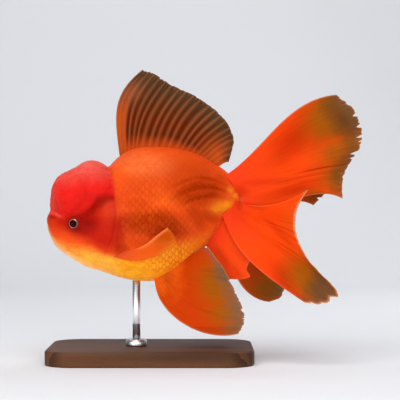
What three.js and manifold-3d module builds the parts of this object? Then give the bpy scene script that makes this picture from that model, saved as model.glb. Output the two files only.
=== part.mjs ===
// A life-size museum model of a red oranda, a fancy goldfish with a fleshy hood and a twin tail,
// swimming slightly nose-down and held over a flat base by one rod.
// Millimetres, +Z up, nose towards -X, the fish's left side towards -Y.
// The origin is the centre of the base's underside.
import * as THREE from "three";
import { mergeVertices } from "three/addons/utils/BufferGeometryUtils.js";
import Module from "manifold-3d";

const wasm = await Module();
wasm.setup();

const { clamp, lerp, smoothstep, degToRad } = THREE.MathUtils;

// ---------- driving sizes ----------
const NOSE_X = -57.2; // tip of the upper lip
const STUMP_X = 49.5; // end of the fleshy tail stalk
const NOSE_Z = 77;
const GAP = 0.3; // clearance between neighbouring pieces
const EYE = { x: -40.7, y: 15.9, z: 75.3, radius: 3.3 };
const BASE = { length: 112, depth: 78, height: 8, corner: 16, bevel: 1.2 };
const ROD = { x: -8, top: 50, radius: 2.2, collarRadius: 6, collarHeight: 3.5, sides: 14 };
const FIN_EDGE = 0.6; // thickness at a fin's free margin
const FIN_ROOT = 1.7; // thickness where a fin leaves the body
const PULL = 1.12; // how strongly a fin ray keeps its first and last direction

// ---------- curves through a few named stations ----------

// A smooth function through [position, value] pairs, in rising order of position.
function through(pairs) {
  const slope = pairs.map((_, i) => {
    const a = pairs[Math.max(i - 1, 0)];
    const b = pairs[Math.min(i + 1, pairs.length - 1)];
    return (b[1] - a[1]) / (b[0] - a[0]);
  });
  return (at) => {
    const x = clamp(at, pairs[0][0], pairs[pairs.length - 1][0]);
    let i = 0;
    while (i < pairs.length - 2 && x > pairs[i + 1][0]) i += 1;
    const [x0, v0] = pairs[i];
    const [x1, v1] = pairs[i + 1];
    const w = x1 - x0;
    const t = (x - x0) / w;
    const t2 = t * t;
    const t3 = t2 * t;
    return (
      (2 * t3 - 3 * t2 + 1) * v0 +
      (t3 - 2 * t2 + t) * w * slope[i] +
      (3 * t2 - 2 * t3) * v1 +
      (t3 - t2) * w * slope[i + 1]
    );
  };
}

// Position along the body as a root, so that profiles leave the nose at a right angle.
const along = (x) => Math.sqrt(clamp((x - NOSE_X) / (STUMP_X - NOSE_X), 0, 1));

function profile(pairs) {
  const f = through(pairs.map(([x, v]) => [along(x), v]));
  return (x) => f(along(x));
}

// Upper and lower outline of head and trunk, without the hood, and their half-width.
const back = profile([
  [NOSE_X, NOSE_Z], [-53, 84.5], [-46, 91], [-37, 97.5], [-28, 103], [-23.9, 105.8], [-17.5, 112],
  [-9, 116.4], [3, 117.3], [15, 116.4], [27, 112.6], [37, 106.9], [43, 102.4], [STUMP_X, 94.5],
]);
const belly = profile([
  [NOSE_X, NOSE_Z], [-55.8, 69.6], [-51.5, 62], [-45, 57], [-36, 51.6], [-27, 48.8], [-13, 44.5],
  [1, 43.4], [10, 46.2], [20, 53.3], [30, 62.2], [36, 70.8], [41, 77.6], [STUMP_X, 80.8],
]);
const halfWidth = profile([
  [NOSE_X, 0], [-55.6, 6.6], [-52, 11.6], [-47, 15.2], [-42, 17.4], [-34, 20.2], [-24, 23.4],
  [-10, 26], [4, 26.2], [15, 23.4], [25, 18.2], [33, 12.4], [41, 7.8], [STUMP_X, 5.2],
]);
const GIRTH_SHARE = 0.47; // height of the widest point between belly and back
const BACK_FULLNESS = 1.9; // exponents of the cross-section: 2 is an ellipse
const BELLY_FULLNESS = 2.2;

// Back edge of the gill covers and hood, where the head meets the trunk: height and x.
const nape = through([
  [46, -30.5], [53.9, -28], [58.3, -24.4], [64.4, -20.6], [71.5, -18.2], [79.2, -17.5],
  [85.8, -18.2], [92.4, -19.5], [97, -20.3], [102.3, -21.6], [106.4, -23.9], [112, -28],
]);

// ---------- flesh as one distance function, negative inside ----------

function ellipsoid(x, y, z, lobe) {
  const dx = (x - lobe.at[0]) / lobe.size[0];
  const dy = (y - lobe.at[1]) / lobe.size[1];
  const dz = (z - lobe.at[2]) / lobe.size[2];
  const k = Math.hypot(dx, dy, dz);
  const slope = Math.hypot(dx / lobe.size[0], dy / lobe.size[1], dz / lobe.size[2]);
  return slope < 1e-9 ? -Math.min(...lobe.size) : (k * (k - 1)) / slope;
}

// Union of two distances with a rounded join about `soft` wide.
function join(a, b, soft) {
  const h = clamp(0.5 + (0.5 * (b - a)) / soft, 0, 1);
  return lerp(b, a, h) - soft * h * (1 - h);
}

// The hood: lobes at [x, y, z] with half-sizes; those off the middle are mirrored.
const HOOD_LOBES = [
  { at: [-46.9, 0, 89.4], size: [8.1, 15, 13.1] },
  { at: [-41.6, 0, 93], size: [9.2, 16, 12] },
  { at: [-32.4, 0, 95.6], size: [12.4, 20, 14.2] },
  { at: [-41.6, 9, 88.6], size: [10.6, 11, 10] },
  { at: [-27.5, 11.5, 93.4], size: [11, 10.8, 8.6] },
  { at: [-51.3, 0, 83.8], size: [3.5, 10, 5.2] },
];
const LIPS = [
  { at: [-54.3, 0, 76.9], size: [3, 6.4, 2.5] },
  { at: [-53.5, 0, 71.8], size: [2.9, 5.7, 2.5] },
];
const NOSTRIL = { at: [-52.6, 8, 80.4], size: [2.6, 2.4, 1.8] };
const SOFT = { lobes: 3, hood: 1.4, lips: 0.7, nostrils: 0.8, stump: 2 }; // widths of the rounded joins

function core(x, y, z) {
  const top = back(x);
  const bottom = belly(x);
  const widest = lerp(bottom, top, GIRTH_SHARE);
  const rise = z - widest;
  const full = rise > 0 ? BACK_FULLNESS : BELLY_FULLNESS;
  const tall = Math.max(rise > 0 ? top - widest : widest - bottom, 0.05);
  const wide = Math.max(halfWidth(x), 0.05);
  const share = Math.pow(
    Math.pow(Math.abs(y) / wide, full) + Math.pow(Math.abs(rise) / tall, full),
    1 / full,
  );
  const reach = Math.hypot(y, rise);
  const radial = share < 1e-6 ? -Math.min(wide, tall) : reach * (1 - 1 / share);
  return radial + Math.max(NOSE_X - x, 0);
}

// A gill cover stands proud of the body, fades out forwards over `fade`, and has a groove behind it.
const GILL = { proud: 0.9, groove: 0.3, grooveWidth: 4, fade: [7, 15], bottom: [55, 65], top: [84, 91] };

function gillLift(x, y, z) {
  const ahead = nape(z) - x;
  const side = smoothstep(Math.abs(y), 7, 13);
  const tall = smoothstep(z, ...GILL.bottom) * (1 - smoothstep(z, ...GILL.top));
  const plate = smoothstep(ahead, -0.3, 0.5) * (1 - smoothstep(ahead, ...GILL.fade));
  const groove = smoothstep(ahead, -GILL.grooveWidth, -0.4) * (1 - smoothstep(ahead, -0.4, 0.3));
  return side * tall * (GILL.proud * plate - GILL.groove * groove);
}

function flesh(x, y, z) {
  const side = Math.abs(y);
  let d = core(x, y, z) - gillLift(x, y, z);
  let hood = Infinity;
  for (const lobe of HOOD_LOBES) {
    const part = ellipsoid(x, lobe.at[1] ? side : y, z, lobe);
    hood = hood === Infinity ? part : join(hood, part, SOFT.lobes);
  }
  d = join(d, hood, SOFT.hood);
  for (const lip of LIPS) d = join(d, ellipsoid(x, y, z, lip), SOFT.lips);
  d = join(d, ellipsoid(x, side, z, NOSTRIL), SOFT.nostrils);
  return -join(-d, STUMP_X - x, SOFT.stump); // the stalk ends in a rounded stump
}

// ---------- the flesh as one closed mesh ----------

// The mesh is made of rings round a line inside the body, from the nose to the stump.
const SPINE = [new THREE.Vector3(-36, 0, 79), new THREE.Vector3(41, 0, 90)];
const NOSE_SHARE = 0.32; // shares of the rings that close the two ends
const STUMP_SHARE = 0.12;
const RINGS = 38;
const SPOKES = 30;
const TILT = { nose: 82, middle: 18, stump: 80 }; // degrees that the rings turn through in each share
const REACH = 60; // no flesh is further than this from the line
const STEP = 1;
const HALVINGS = 16;

function spinRay(u, turn) {
  const nose = clamp(u / NOSE_SHARE, 0, 1);
  const stump = clamp((u - 1 + STUMP_SHARE) / STUMP_SHARE, 0, 1);
  const middle = clamp((u - NOSE_SHARE) / (1 - NOSE_SHARE - STUMP_SHARE), 0, 1);
  const from = new THREE.Vector3().lerpVectors(SPINE[0], SPINE[1], middle);
  const tilt = degToRad(TILT.nose * nose + TILT.middle * middle + TILT.stump * stump);
  const way = new THREE.Vector3(
    -Math.cos(tilt),
    Math.sin(tilt) * Math.sin(turn),
    Math.sin(tilt) * Math.cos(turn),
  );
  return { from, way };
}

// The outermost point along the ray that is `grow` outside the flesh.
function skinPoint(u, turn, grow) {
  const { from, way } = spinRay(u, turn);
  const outside = (r) =>
    flesh(from.x + way.x * r, from.y + way.y * r, from.z + way.z * r) > grow;
  let near = REACH;
  while (near > STEP && outside(near)) near -= STEP;
  let far = near + STEP;
  for (let i = 0; i < HALVINGS; i += 1) {
    const mid = (near + far) / 2;
    if (outside(mid)) far = mid;
    else near = mid;
  }
  return from.clone().addScaledVector(way, near);
}

function fleshGeometry(grow) {
  const points = [skinPoint(0, 0, grow)];
  const faces = [];
  const at = (ring, spoke) => 1 + ring * SPOKES + (spoke % SPOKES);
  for (let i = 1; i < RINGS; i += 1)
    for (let j = 0; j < SPOKES; j += 1)
      points.push(skinPoint(i / RINGS, (2 * Math.PI * j) / SPOKES, grow));
  points.push(skinPoint(1, 0, grow));
  const end = points.length - 1;
  for (let j = 0; j < SPOKES; j += 1) {
    faces.push(0, at(0, j), at(0, j + 1));
    faces.push(end, at(RINGS - 2, j + 1), at(RINGS - 2, j));
    for (let i = 0; i < RINGS - 2; i += 1) {
      faces.push(at(i, j), at(i + 1, j), at(i, j + 1));
      faces.push(at(i, j + 1), at(i + 1, j), at(i + 1, j + 1));
    }
  }
  return indexed(points, faces);
}

function indexed(points, faces) {
  const g = new THREE.BufferGeometry();
  g.setAttribute(
    "position",
    new THREE.Float32BufferAttribute(points.flatMap((p) => [p.x, p.y, p.z]), 3),
  );
  g.setIndex(faces);
  return g;
}

// ---------- geometry to solid and back ----------

function solid(geometry) {
  const g = geometry.clone();
  g.deleteAttribute("normal");
  g.deleteAttribute("uv");
  const merged = mergeVertices(g, 1e-4);
  return new wasm.Manifold(
    new wasm.Mesh({
      numProp: 3,
      vertProperties: new Float32Array(merged.attributes.position.array),
      triVerts: new Uint32Array(merged.index.array),
    }),
  );
}

function geometryOf(made) {
  const mesh = made.getMesh();
  const g = new THREE.BufferGeometry();
  g.setAttribute("position", new THREE.BufferAttribute(mesh.vertProperties, 3));
  g.setIndex(new THREE.BufferAttribute(mesh.triVerts, 1));
  g.computeVertexNormals();
  return g;
}

// The largest body of a solid, so that slivers beyond a cut fall away.
const largest = (made) =>
  made.decompose().reduce((a, b) => (b.volume() > a.volume() ? b : a));

// ---------- zones that divide the flesh, as outlines seen from the side ----------

// A prism across the fish with the given [x, z] outline, grown by `grow`, between two y planes.
function zone(outline, grow, yFrom = -40, yTo = 40) {
  const shape = new THREE.Shape(outline.map(([x, z]) => new THREE.Vector2(x, z)));
  const points = shape.getPoints();
  if (THREE.ShapeUtils.isClockWise(points)) points.reverse();
  const n = points.length;
  const moved = points.map((p, i) => {
    const a = points[(i + n - 1) % n];
    const b = points[(i + 1) % n];
    const first = new THREE.Vector2(p.y - a.y, a.x - p.x).normalize();
    const next = new THREE.Vector2(b.y - p.y, p.x - b.x).normalize();
    const out = first.clone().add(next);
    return p.clone().addScaledVector(out, (2 * grow) / Math.max(out.lengthSq(), 0.5));
  });
  const g = new THREE.ExtrudeGeometry(new THREE.Shape(moved), {
    depth: yTo - yFrom,
    bevelEnabled: false,
  });
  g.rotateX(Math.PI / 2); // shape y becomes z, depth becomes -y
  g.translate(0, yTo, 0);
  return solid(g);
}

// Points along a smooth open line through the given ones.
const smoothLine = (points, count) =>
  new THREE.SplineCurve(points.map(([x, z]) => new THREE.Vector2(x, z)))
    .getPoints(count)
    .map((p) => [p.x, p.y]);

const heights = Array.from({ length: 11 }, (_, i) => lerp(45, 112, i / 10));
const HEAD_ZONE = [[-80, 112], [-80, 45], ...heights.map((z) => [nape(z), z])];
const HOOD_EDGE = smoothLine(
  [[-60, 80.4], [-52.3, 79.4], [-47.6, 78.4], [-41.5, 79.2], [-35.8, 80.9], [-31.6, 84],
    [-27, 88.6], [-12, 90.6]],
  14,
);
const HOOD_ZONE = [...HOOD_EDGE, [-12, 125], [-60, 125]];
const GILL_EDGE = smoothLine(
  [[-12, 89.5], [-25.4, 88.4], [-29.2, 84], [-31, 77], [-31, 70], [-29.2, 63.6], [-25.4, 58.8], [-12, 56]],
  12,
);
const GILL_DEPTH = 13; // inner face of a gill cover, from the middle plane
const JAW_ZONE = smoothLine(
  [[-62, 74.2], [-55, 74], [-51.2, 71.6], [-48.8, 66], [-48.4, 54], [-62, 50]],
  9,
);
const STALK_ZONE = [
  ...smoothLine([[42, 118], [36.6, 105], [34.4, 96], [33.4, 85], [34.2, 75], [36.6, 66], [38, 60]], 8),
  [70, 60],
  [70, 118],
];

// ---------- fins ----------

// A fin is a fan of rays from a root line to a free margin. Each guide ray has its place along the
// root (0 to 1), its tip, and the directions, in degrees up from +X, in which it leaves and arrives.
function finSurface({ root, rays, bulge = 1, ripple = 0, waves = 3, phase = 0 }) {
  const tipOf = [0, 1, 2].map((k) => through(rays.map((r) => [r.at, r.tip[k]])));
  const leaveAt = through(rays.map((r) => [r.at, r.leave]));
  const arriveAt = through(rays.map((r) => [r.at, r.arrive]));
  const pullAt = through(rays.map((r) => [r.at, r.pull ?? PULL]));
  const rootLine = new THREE.CatmullRomCurve3(root.map((p) => new THREE.Vector3(...p)));
  return (s, t) => {
    const from = rootLine.getPoint(s);
    const to = new THREE.Vector3(...tipOf.map((f) => f(s)));
    const reach = Math.hypot(to.x - from.x, to.z - from.z) * pullAt(s);
    const leave = degToRad(leaveAt(s));
    const arrive = degToRad(arriveAt(s));
    const t2 = t * t;
    const t3 = t2 * t;
    const h = [2 * t3 - 3 * t2 + 1, t3 - 2 * t2 + t, 3 * t2 - 2 * t3, t3 - t2];
    const wave = ripple * t * t * Math.sin(2 * Math.PI * (waves * s + phase));
    return new THREE.Vector3(
      h[0] * from.x + h[1] * reach * Math.cos(leave) + h[2] * to.x + h[3] * reach * Math.cos(arrive),
      lerp(from.y, to.y, Math.pow(t, bulge)) + wave,
      h[0] * from.z + h[1] * reach * Math.sin(leave) + h[2] * to.z + h[3] * reach * Math.sin(arrive),
    );
  };
}

// Closes a fin's surface into a thin solid, thick at the root and thin at the margin.
function finSolid(fin) {
  const surface = finSurface(fin);
  const [across, out] = fin.cells;
  const step = 1e-3;
  const layers = [[], []];
  for (let i = 0; i <= across; i += 1)
    for (let j = 0; j <= out; j += 1) {
      const s = i / across;
      const t = j / out;
      const p = surface(s, t);
      const bs = s > 0.5 ? -step : step;
      const bt = t > 0.5 ? -step : step;
      const alongS = surface(s + bs, t).sub(p).multiplyScalar(Math.sign(bs));
      const alongT = surface(s, t + bt).sub(p).multiplyScalar(Math.sign(bt));
      const normal = alongS.cross(alongT).normalize();
      const half = lerp(FIN_ROOT, FIN_EDGE, Math.pow(t, 0.6)) / 2;
      layers[0].push(p.clone().addScaledVector(normal, half));
      layers[1].push(p.clone().addScaledVector(normal, -half));
    }
  const row = out + 1;
  const below = layers[0].length;
  const faces = [];
  const quad = (a, b, c, d) => faces.push(a, b, c, a, c, d);
  for (let i = 0; i < across; i += 1)
    for (let j = 0; j < out; j += 1) {
      const a = i * row + j;
      quad(a, a + row, a + row + 1, a + 1);
      quad(below + a, below + a + 1, below + a + row + 1, below + a + row);
    }
  for (let i = 0; i < across; i += 1) {
    const a = i * row;
    quad(a, below + a, below + a + row, a + row);
    quad(a + out, a + row + out, below + a + row + out, below + a + out);
  }
  for (let j = 0; j < out; j += 1) {
    const a = across * row + j;
    quad(j, j + 1, below + j + 1, below + j);
    quad(a, below + a, below + a + 1, a + 1);
  }
  return solid(indexed([...layers[0], ...layers[1]], faces));
}

// The same fin on the fish's other side.
function mirrored(fin, reach = 1) {
  const flip = ([x, y, z]) => [x, -y, z];
  const start = new THREE.Vector3(...fin.root[0]);
  const shorten = (p) => new THREE.Vector3(...p).sub(start).multiplyScalar(reach).add(start).toArray();
  return {
    ...fin,
    root: fin.root.map(flip),
    rays: fin.rays.map((r) => ({ ...r, tip: flip(shorten(r.tip)) })),
  };
}

const DORSAL = {
  root: [[-16.9, 0, 109.3], [-8, 0, 114.3], [10, 0, 114.6], [24, 0, 111.2], [35, 0, 105.2]],
  rays: [
    { at: 0, tip: [-4.8, -1, 159.5], leave: 97, arrive: 38, pull: 1.36 },
    { at: 0.14, tip: [1.4, -0.6, 157.6], leave: 92, arrive: 46, pull: 1.25 },
    { at: 0.3, tip: [11.6, 0.4, 151.4], leave: 86, arrive: 50 },
    { at: 0.5, tip: [28.2, 0, 143], leave: 72, arrive: 40 },
    { at: 0.68, tip: [40.4, -1, 132.4], leave: 58, arrive: 34 },
    { at: 0.85, tip: [45.6, 0.3, 121], leave: 44, arrive: 18 },
    { at: 1, tip: [42.8, 0.6, 109], leave: 20, arrive: 0 },
  ],
  ripple: 0.9,
  waves: 4,
  cells: [16, 6],
};

const PECTORAL = {
  root: [[-12.8, -22, 61], [-16.2, -20.4, 59], [-18.8, -19, 57.4]],
  rays: [
    { at: 0, tip: [10, -31, 73.5], leave: 9, arrive: 32, pull: 1.5 },
    { at: 0.3, tip: [13, -32, 70], leave: 4, arrive: 32, pull: 1.3 },
    { at: 0.65, tip: [14.2, -32, 65.2], leave: -6, arrive: 28 },
    { at: 1, tip: [8.6, -30.5, 60.2], leave: -18, arrive: 24 },
  ],
  bulge: 0.9,
  ripple: 0.5,
  waves: 2,
  cells: [7, 5],
};

const PELVIC = {
  root: [[2.4, -8, 46.4], [7, -9.6, 48.8], [13.6, -10.4, 53.6]],
  rays: [
    { at: 0, tip: [47.3, -24, 16.6], leave: -93, arrive: 16 },
    { at: 0.2, tip: [50.6, -24, 21.6], leave: -68, arrive: 2 },
    { at: 0.42, tip: [50.2, -22.5, 29.2], leave: -50, arrive: -10 },
    { at: 0.64, tip: [44.8, -19.5, 41.4], leave: -35, arrive: -18 },
    { at: 0.84, tip: [39.6, -15, 51.6], leave: -16, arrive: -12 },
    { at: 1, tip: [32.6, -10.8, 60], leave: 8, arrive: 14 },
  ],
  bulge: 0.8,
  ripple: 0.8,
  waves: 2,
  cells: [10, 6],
};

const ANAL = {
  root: [[30, -1.9, 64.2], [34.5, -2, 71.4], [39.2, -2.2, 77]],
  rays: [
    { at: 0, tip: [43.1, -8, 44.9], leave: -72, arrive: -40 },
    { at: 0.3, tip: [49.4, -9.5, 44.8], leave: -60, arrive: -34 },
    { at: 0.56, tip: [54.2, -10.2, 46.3], leave: -52, arrive: -34 },
    { at: 0.76, tip: [52.4, -9.6, 50.6], leave: -46, arrive: -46 },
    { at: 1, tip: [55, -9.4, 56], leave: -36, arrive: -66 },
  ],
  cells: [7, 5],
};

const TAIL_UPPER = {
  root: [[40.5, -1.6, 101], [44.8, -2.6, 96.4], [46.6, -2.8, 89.6]],
  rays: [
    { at: 0, tip: [101, -11, 145.2], leave: 34, arrive: 4, pull: 1.1 },
    { at: 0.2, tip: [109.8, -13.5, 137.4], leave: 30, arrive: 20 },
    { at: 0.4, tip: [114.4, -16, 126], leave: 25, arrive: 18 },
    { at: 0.6, tip: [113.2, -17, 116.6], leave: 18, arrive: 12 },
    { at: 0.78, tip: [107.2, -15.5, 106.6], leave: 12, arrive: 2 },
    { at: 0.9, tip: [104.2, -13, 98], leave: -14, arrive: -14 },
    { at: 1, tip: [104.2, -10.5, 88.8], leave: -58, arrive: -30 },
  ],
  bulge: 1.3,
  ripple: 1.2,
  waves: 2.6,
  phase: 0.1,
  cells: [12, 7],
};

const TAIL_UPPER_FAR = {
  ...TAIL_UPPER,
  root: TAIL_UPPER.root.map(([x, y, z]) => [x, -y, z]),
  rays: [
    { at: 0, tip: [99.6, 11, 142.6], leave: 34, arrive: 4 },
    { at: 0.25, tip: [108.4, 14, 134.6], leave: 28, arrive: 16 },
    { at: 0.5, tip: [111.4, 17, 121], leave: 20, arrive: 12 },
    { at: 0.72, tip: [105.4, 17.5, 103.6], leave: 10, arrive: 0 },
    { at: 0.88, tip: [98, 16.5, 92.4], leave: -12, arrive: -16 },
    { at: 1, tip: [90.4, 14.5, 85], leave: -52, arrive: -30 },
  ],
  phase: 0.35,
};

const TAIL_LOWER = {
  root: [[46.8, -4, 87.4], [45, -4.4, 83.6], [40, -4, 80.2]],
  rays: [
    { at: 0, tip: [84.6, -21, 93.4], leave: -24, arrive: 34 },
    { at: 0.16, tip: [79.4, -22, 84], leave: -28, arrive: 6 },
    { at: 0.32, tip: [77.6, -25, 73.6], leave: -32, arrive: -18 },
    { at: 0.47, tip: [80, -28, 64.6], leave: -36, arrive: -34 },
    { at: 0.6, tip: [86.2, -31.5, 53.8], leave: -40, arrive: -40 },
    { at: 0.74, tip: [99.8, -34, 38.8], leave: -45, arrive: -36 },
    { at: 0.88, tip: [91.2, -34, 33.1], leave: -53, arrive: -38 },
    { at: 1, tip: [82.2, -32.5, 33.8], leave: -74, arrive: -34 },
  ],
  bulge: 1.15,
  ripple: 1,
  waves: 2.4,
  cells: [14, 7],
};

const TAIL_LOWER_FAR = {
  ...TAIL_LOWER,
  root: TAIL_LOWER.root.map(([x, y, z]) => [x, -y, z]),
  rays: [
    { at: 0, tip: [79.5, 17, 79], leave: -22, arrive: 10 },
    { at: 0.3, tip: [79.4, 20, 62], leave: -34, arrive: -20 },
    { at: 0.55, tip: [77, 24, 48], leave: -50, arrive: -34 },
    { at: 0.75, tip: [75.4, 28, 38.6], leave: -64, arrive: -26 },
    { at: 0.88, tip: [72.8, 30, 32.2], leave: -74, arrive: -14 },
    { at: 1, tip: [66.4, 30, 29.9], leave: -84, arrive: -8 },
  ],
  phase: 0.2,
  cells: [10, 7],
};

// ---------- the stand ----------

function baseGeometry() {
  const { length, depth, height, corner, bevel } = BASE;
  const w = length / 2 - bevel;
  const d = depth / 2 - bevel;
  const shape = new THREE.Shape();
  shape.moveTo(-w + corner, -d);
  shape.lineTo(w - corner, -d);
  shape.absarc(w - corner, -d + corner, corner, -Math.PI / 2, 0);
  shape.absarc(w - corner, d - corner, corner, 0, Math.PI / 2);
  shape.absarc(-w + corner, d - corner, corner, Math.PI / 2, Math.PI);
  shape.absarc(-w + corner, -d + corner, corner, Math.PI, 1.5 * Math.PI);
  const g = new THREE.ExtrudeGeometry(shape, {
    depth: height - 2 * bevel,
    bevelSize: bevel,
    bevelThickness: bevel,
    bevelSegments: 1,
    curveSegments: 4,
  });
  return g.translate(0, 0, bevel);
}

// An upright cylinder standing on its origin.
function rodGeometry(radius, length, sides) {
  return new THREE.CylinderGeometry(radius, radius, length, sides)
    .rotateX(Math.PI / 2)
    .translate(0, 0, length / 2);
}

function collarGeometry() {
  const { collarRadius: r, collarHeight: h, radius } = ROD;
  const bore = radius + GAP;
  const points = [[bore, 0], [r, 0], [r, h * 0.5], [r * 0.72, h], [bore, h], [bore, 0]];
  const g = new THREE.LatheGeometry(points.map(([x, y]) => new THREE.Vector2(x, y)), ROD.sides);
  return g.rotateX(Math.PI / 2);
}

// ---------- assembly ----------

const model = new THREE.Group();
const fish = new THREE.Group();
const stand = new THREE.Group();
model.add(fish, stand);

const SLOTS = {
  skin_red: { color: 0xe2401c, roughness: 0.35 },
  skin_orange: { color: 0xf0702a, roughness: 0.35 },
  hood_red: { color: 0xf02f2a, roughness: 0.4 },
  fin_membrane: { color: 0xf2602a, roughness: 0.35, transparent: true, opacity: 0.85 },
  eye_black: { color: 0x120a08, roughness: 0.08 },
  walnut: { color: 0x3b2418, roughness: 0.45 },
  steel: { color: 0xb9bcc0, roughness: 0.25, metalness: 1 },
};

function add(group, name, slot, geometry) {
  const mesh = new THREE.Mesh(geometry, new THREE.MeshStandardMaterial(SLOTS[slot]));
  mesh.name = name;
  group.add(mesh);
  return mesh;
}

const body = solid(fleshGeometry(0));
const bodyRoom = solid(fleshGeometry(GAP)); // what a fin is cut back from
const half = GAP / 2;
const headSide = body.intersect(zone(HEAD_ZONE, -half));
const gillZones = [-1, 1].map((side) => {
  const [from, to] = side < 0 ? [-40, -GILL_DEPTH] : [GILL_DEPTH, 40];
  return {
    name: side < 0 ? "gill_cover_left" : "gill_cover_right",
    inside: zone(GILL_EDGE, -half, from, to),
    around: zone(GILL_EDGE, half, side < 0 ? from : from - GAP, side < 0 ? to + GAP : to),
  };
});
const eyeBall = (radius) => new THREE.SphereGeometry(radius, 12, 8).rotateX(Math.PI / 2);
const eyes = [-1, 1].map((side) => ({
  name: side < 0 ? "eye_left" : "eye_right",
  at: new THREE.Vector3(EYE.x, side * EYE.y, EYE.z),
}));

let head = headSide.subtract(zone(HOOD_ZONE, half)).subtract(zone(JAW_ZONE, half));
for (const gill of gillZones) head = head.subtract(gill.around);
let hood = headSide.intersect(zone(HOOD_ZONE, -half));
for (const eye of eyes) {
  const socket = solid(eyeBall(EYE.radius + GAP).translate(...eye.at));
  head = head.subtract(socket);
  hood = hood.subtract(socket);
}
add(fish, "head", "skin_red", geometryOf(largest(head)));
add(fish, "hood", "hood_red", geometryOf(largest(hood)));
add(fish, "lower_jaw", "skin_red", geometryOf(largest(headSide.intersect(zone(JAW_ZONE, -half)))));
for (const gill of gillZones)
  add(fish, gill.name, "skin_red", geometryOf(largest(headSide.intersect(gill.inside))));
for (const eye of eyes)
  add(fish, eye.name, "eye_black", eyeBall(EYE.radius)).position.copy(eye.at);

const rodRoom = solid(rodGeometry(ROD.radius + GAP, ROD.top, ROD.sides).translate(ROD.x, 0, 0));
const trunk = body
  .subtract(zone(HEAD_ZONE, half))
  .subtract(zone(STALK_ZONE, half))
  .subtract(rodRoom);
add(fish, "trunk", "skin_orange", geometryOf(largest(trunk)));
add(fish, "tail_stalk", "skin_orange", geometryOf(largest(body.intersect(zone(STALK_ZONE, -half)))));

const FINS = {
  dorsal_fin: DORSAL,
  pectoral_fin_left: PECTORAL,
  pectoral_fin_right: mirrored(PECTORAL),
  pelvic_fin_left: PELVIC,
  pelvic_fin_right: mirrored(PELVIC, 0.95),
  anal_fin_left: ANAL,
  anal_fin_right: mirrored(ANAL, 0.95),
  tail_upper_left: TAIL_UPPER,
  tail_upper_right: TAIL_UPPER_FAR,
  tail_lower_left: TAIL_LOWER,
  tail_lower_right: TAIL_LOWER_FAR,
};
for (const [name, fin] of Object.entries(FINS)) {
  add(fish, name, "fin_membrane", geometryOf(largest(finSolid(fin).subtract(bodyRoom))));
}

const onBase = BASE.height + GAP;
add(stand, "stand_base", "walnut", baseGeometry());
add(stand, "stand_collar", "steel", collarGeometry()).position.set(ROD.x, 0, onBase);
add(stand, "stand_rod", "steel", rodGeometry(ROD.radius, ROD.top - GAP - onBase, ROD.sides))
  .position.set(ROD.x, 0, onBase);

export default model;
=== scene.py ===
"""The looks of a life-size red oranda display model, built round its solids."""
import itertools
import math

import bpy
import numpy as np
from bpy.props import FloatProperty, FloatVectorProperty, IntProperty, PointerProperty
from bpy.types import Operator, Panel, PropertyGroup
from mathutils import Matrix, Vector


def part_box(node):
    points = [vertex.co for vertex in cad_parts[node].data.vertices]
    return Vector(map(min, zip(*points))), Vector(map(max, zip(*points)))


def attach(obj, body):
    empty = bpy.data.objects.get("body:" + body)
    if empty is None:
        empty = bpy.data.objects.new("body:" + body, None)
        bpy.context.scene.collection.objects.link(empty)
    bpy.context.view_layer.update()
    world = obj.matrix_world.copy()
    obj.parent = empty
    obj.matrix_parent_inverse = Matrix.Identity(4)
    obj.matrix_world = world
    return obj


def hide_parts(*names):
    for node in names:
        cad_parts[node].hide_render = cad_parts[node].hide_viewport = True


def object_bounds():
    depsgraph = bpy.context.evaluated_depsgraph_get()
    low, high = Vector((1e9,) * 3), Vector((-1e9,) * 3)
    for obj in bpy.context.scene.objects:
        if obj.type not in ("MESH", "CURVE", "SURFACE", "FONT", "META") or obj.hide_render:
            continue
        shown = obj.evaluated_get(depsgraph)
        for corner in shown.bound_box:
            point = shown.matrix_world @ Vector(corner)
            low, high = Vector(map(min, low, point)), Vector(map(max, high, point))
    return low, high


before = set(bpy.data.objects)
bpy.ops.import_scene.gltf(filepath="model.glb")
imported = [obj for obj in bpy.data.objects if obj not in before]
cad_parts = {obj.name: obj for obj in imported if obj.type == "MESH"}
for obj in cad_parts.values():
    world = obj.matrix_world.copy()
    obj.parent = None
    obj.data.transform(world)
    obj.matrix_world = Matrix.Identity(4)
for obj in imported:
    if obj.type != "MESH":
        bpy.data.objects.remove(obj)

bl_info = {
    "name": "Red Oranda Display Model",
    "version": (1, 0, 0),
    "blender": (4, 5, 0),
    "location": "View3D > Sidebar > Oranda",
    "description": "Builds the skin, scales, fins, eyes and stand of a life-size red oranda",
    "category": "Add Mesh",
}

CAD_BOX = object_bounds()
MM = 0.001  # the fish's own shape is worked out in millimetres and turned into metres last

# ---------- driving sizes of the fish, in millimetres, as in the solids ----------

NOSE_X, NOSE_Z = -57.2, 77.0  # tip of the upper lip
STUMP_X = 49.5  # end of the fleshy tail stalk
GIRTH_SHARE = 0.47  # height of the widest point between belly and back
BACK_FULLNESS, BELLY_FULLNESS = 1.9, 2.2  # exponents of the cross-section: 2 is an ellipse
FIN_ROOT, FIN_EDGE = 1.7, 0.6  # a fin's thickness at its root and margin
PULL = 1.12  # how strongly a fin ray keeps its first and last direction


# ---------- curves through a few named stations ----------

def smooth(value, low, high):
    """A smooth step from 0 at low to 1 at high."""
    t = np.clip((value - low) / (high - low), 0, 1)
    return t * t * (3 - 2 * t)


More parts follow.
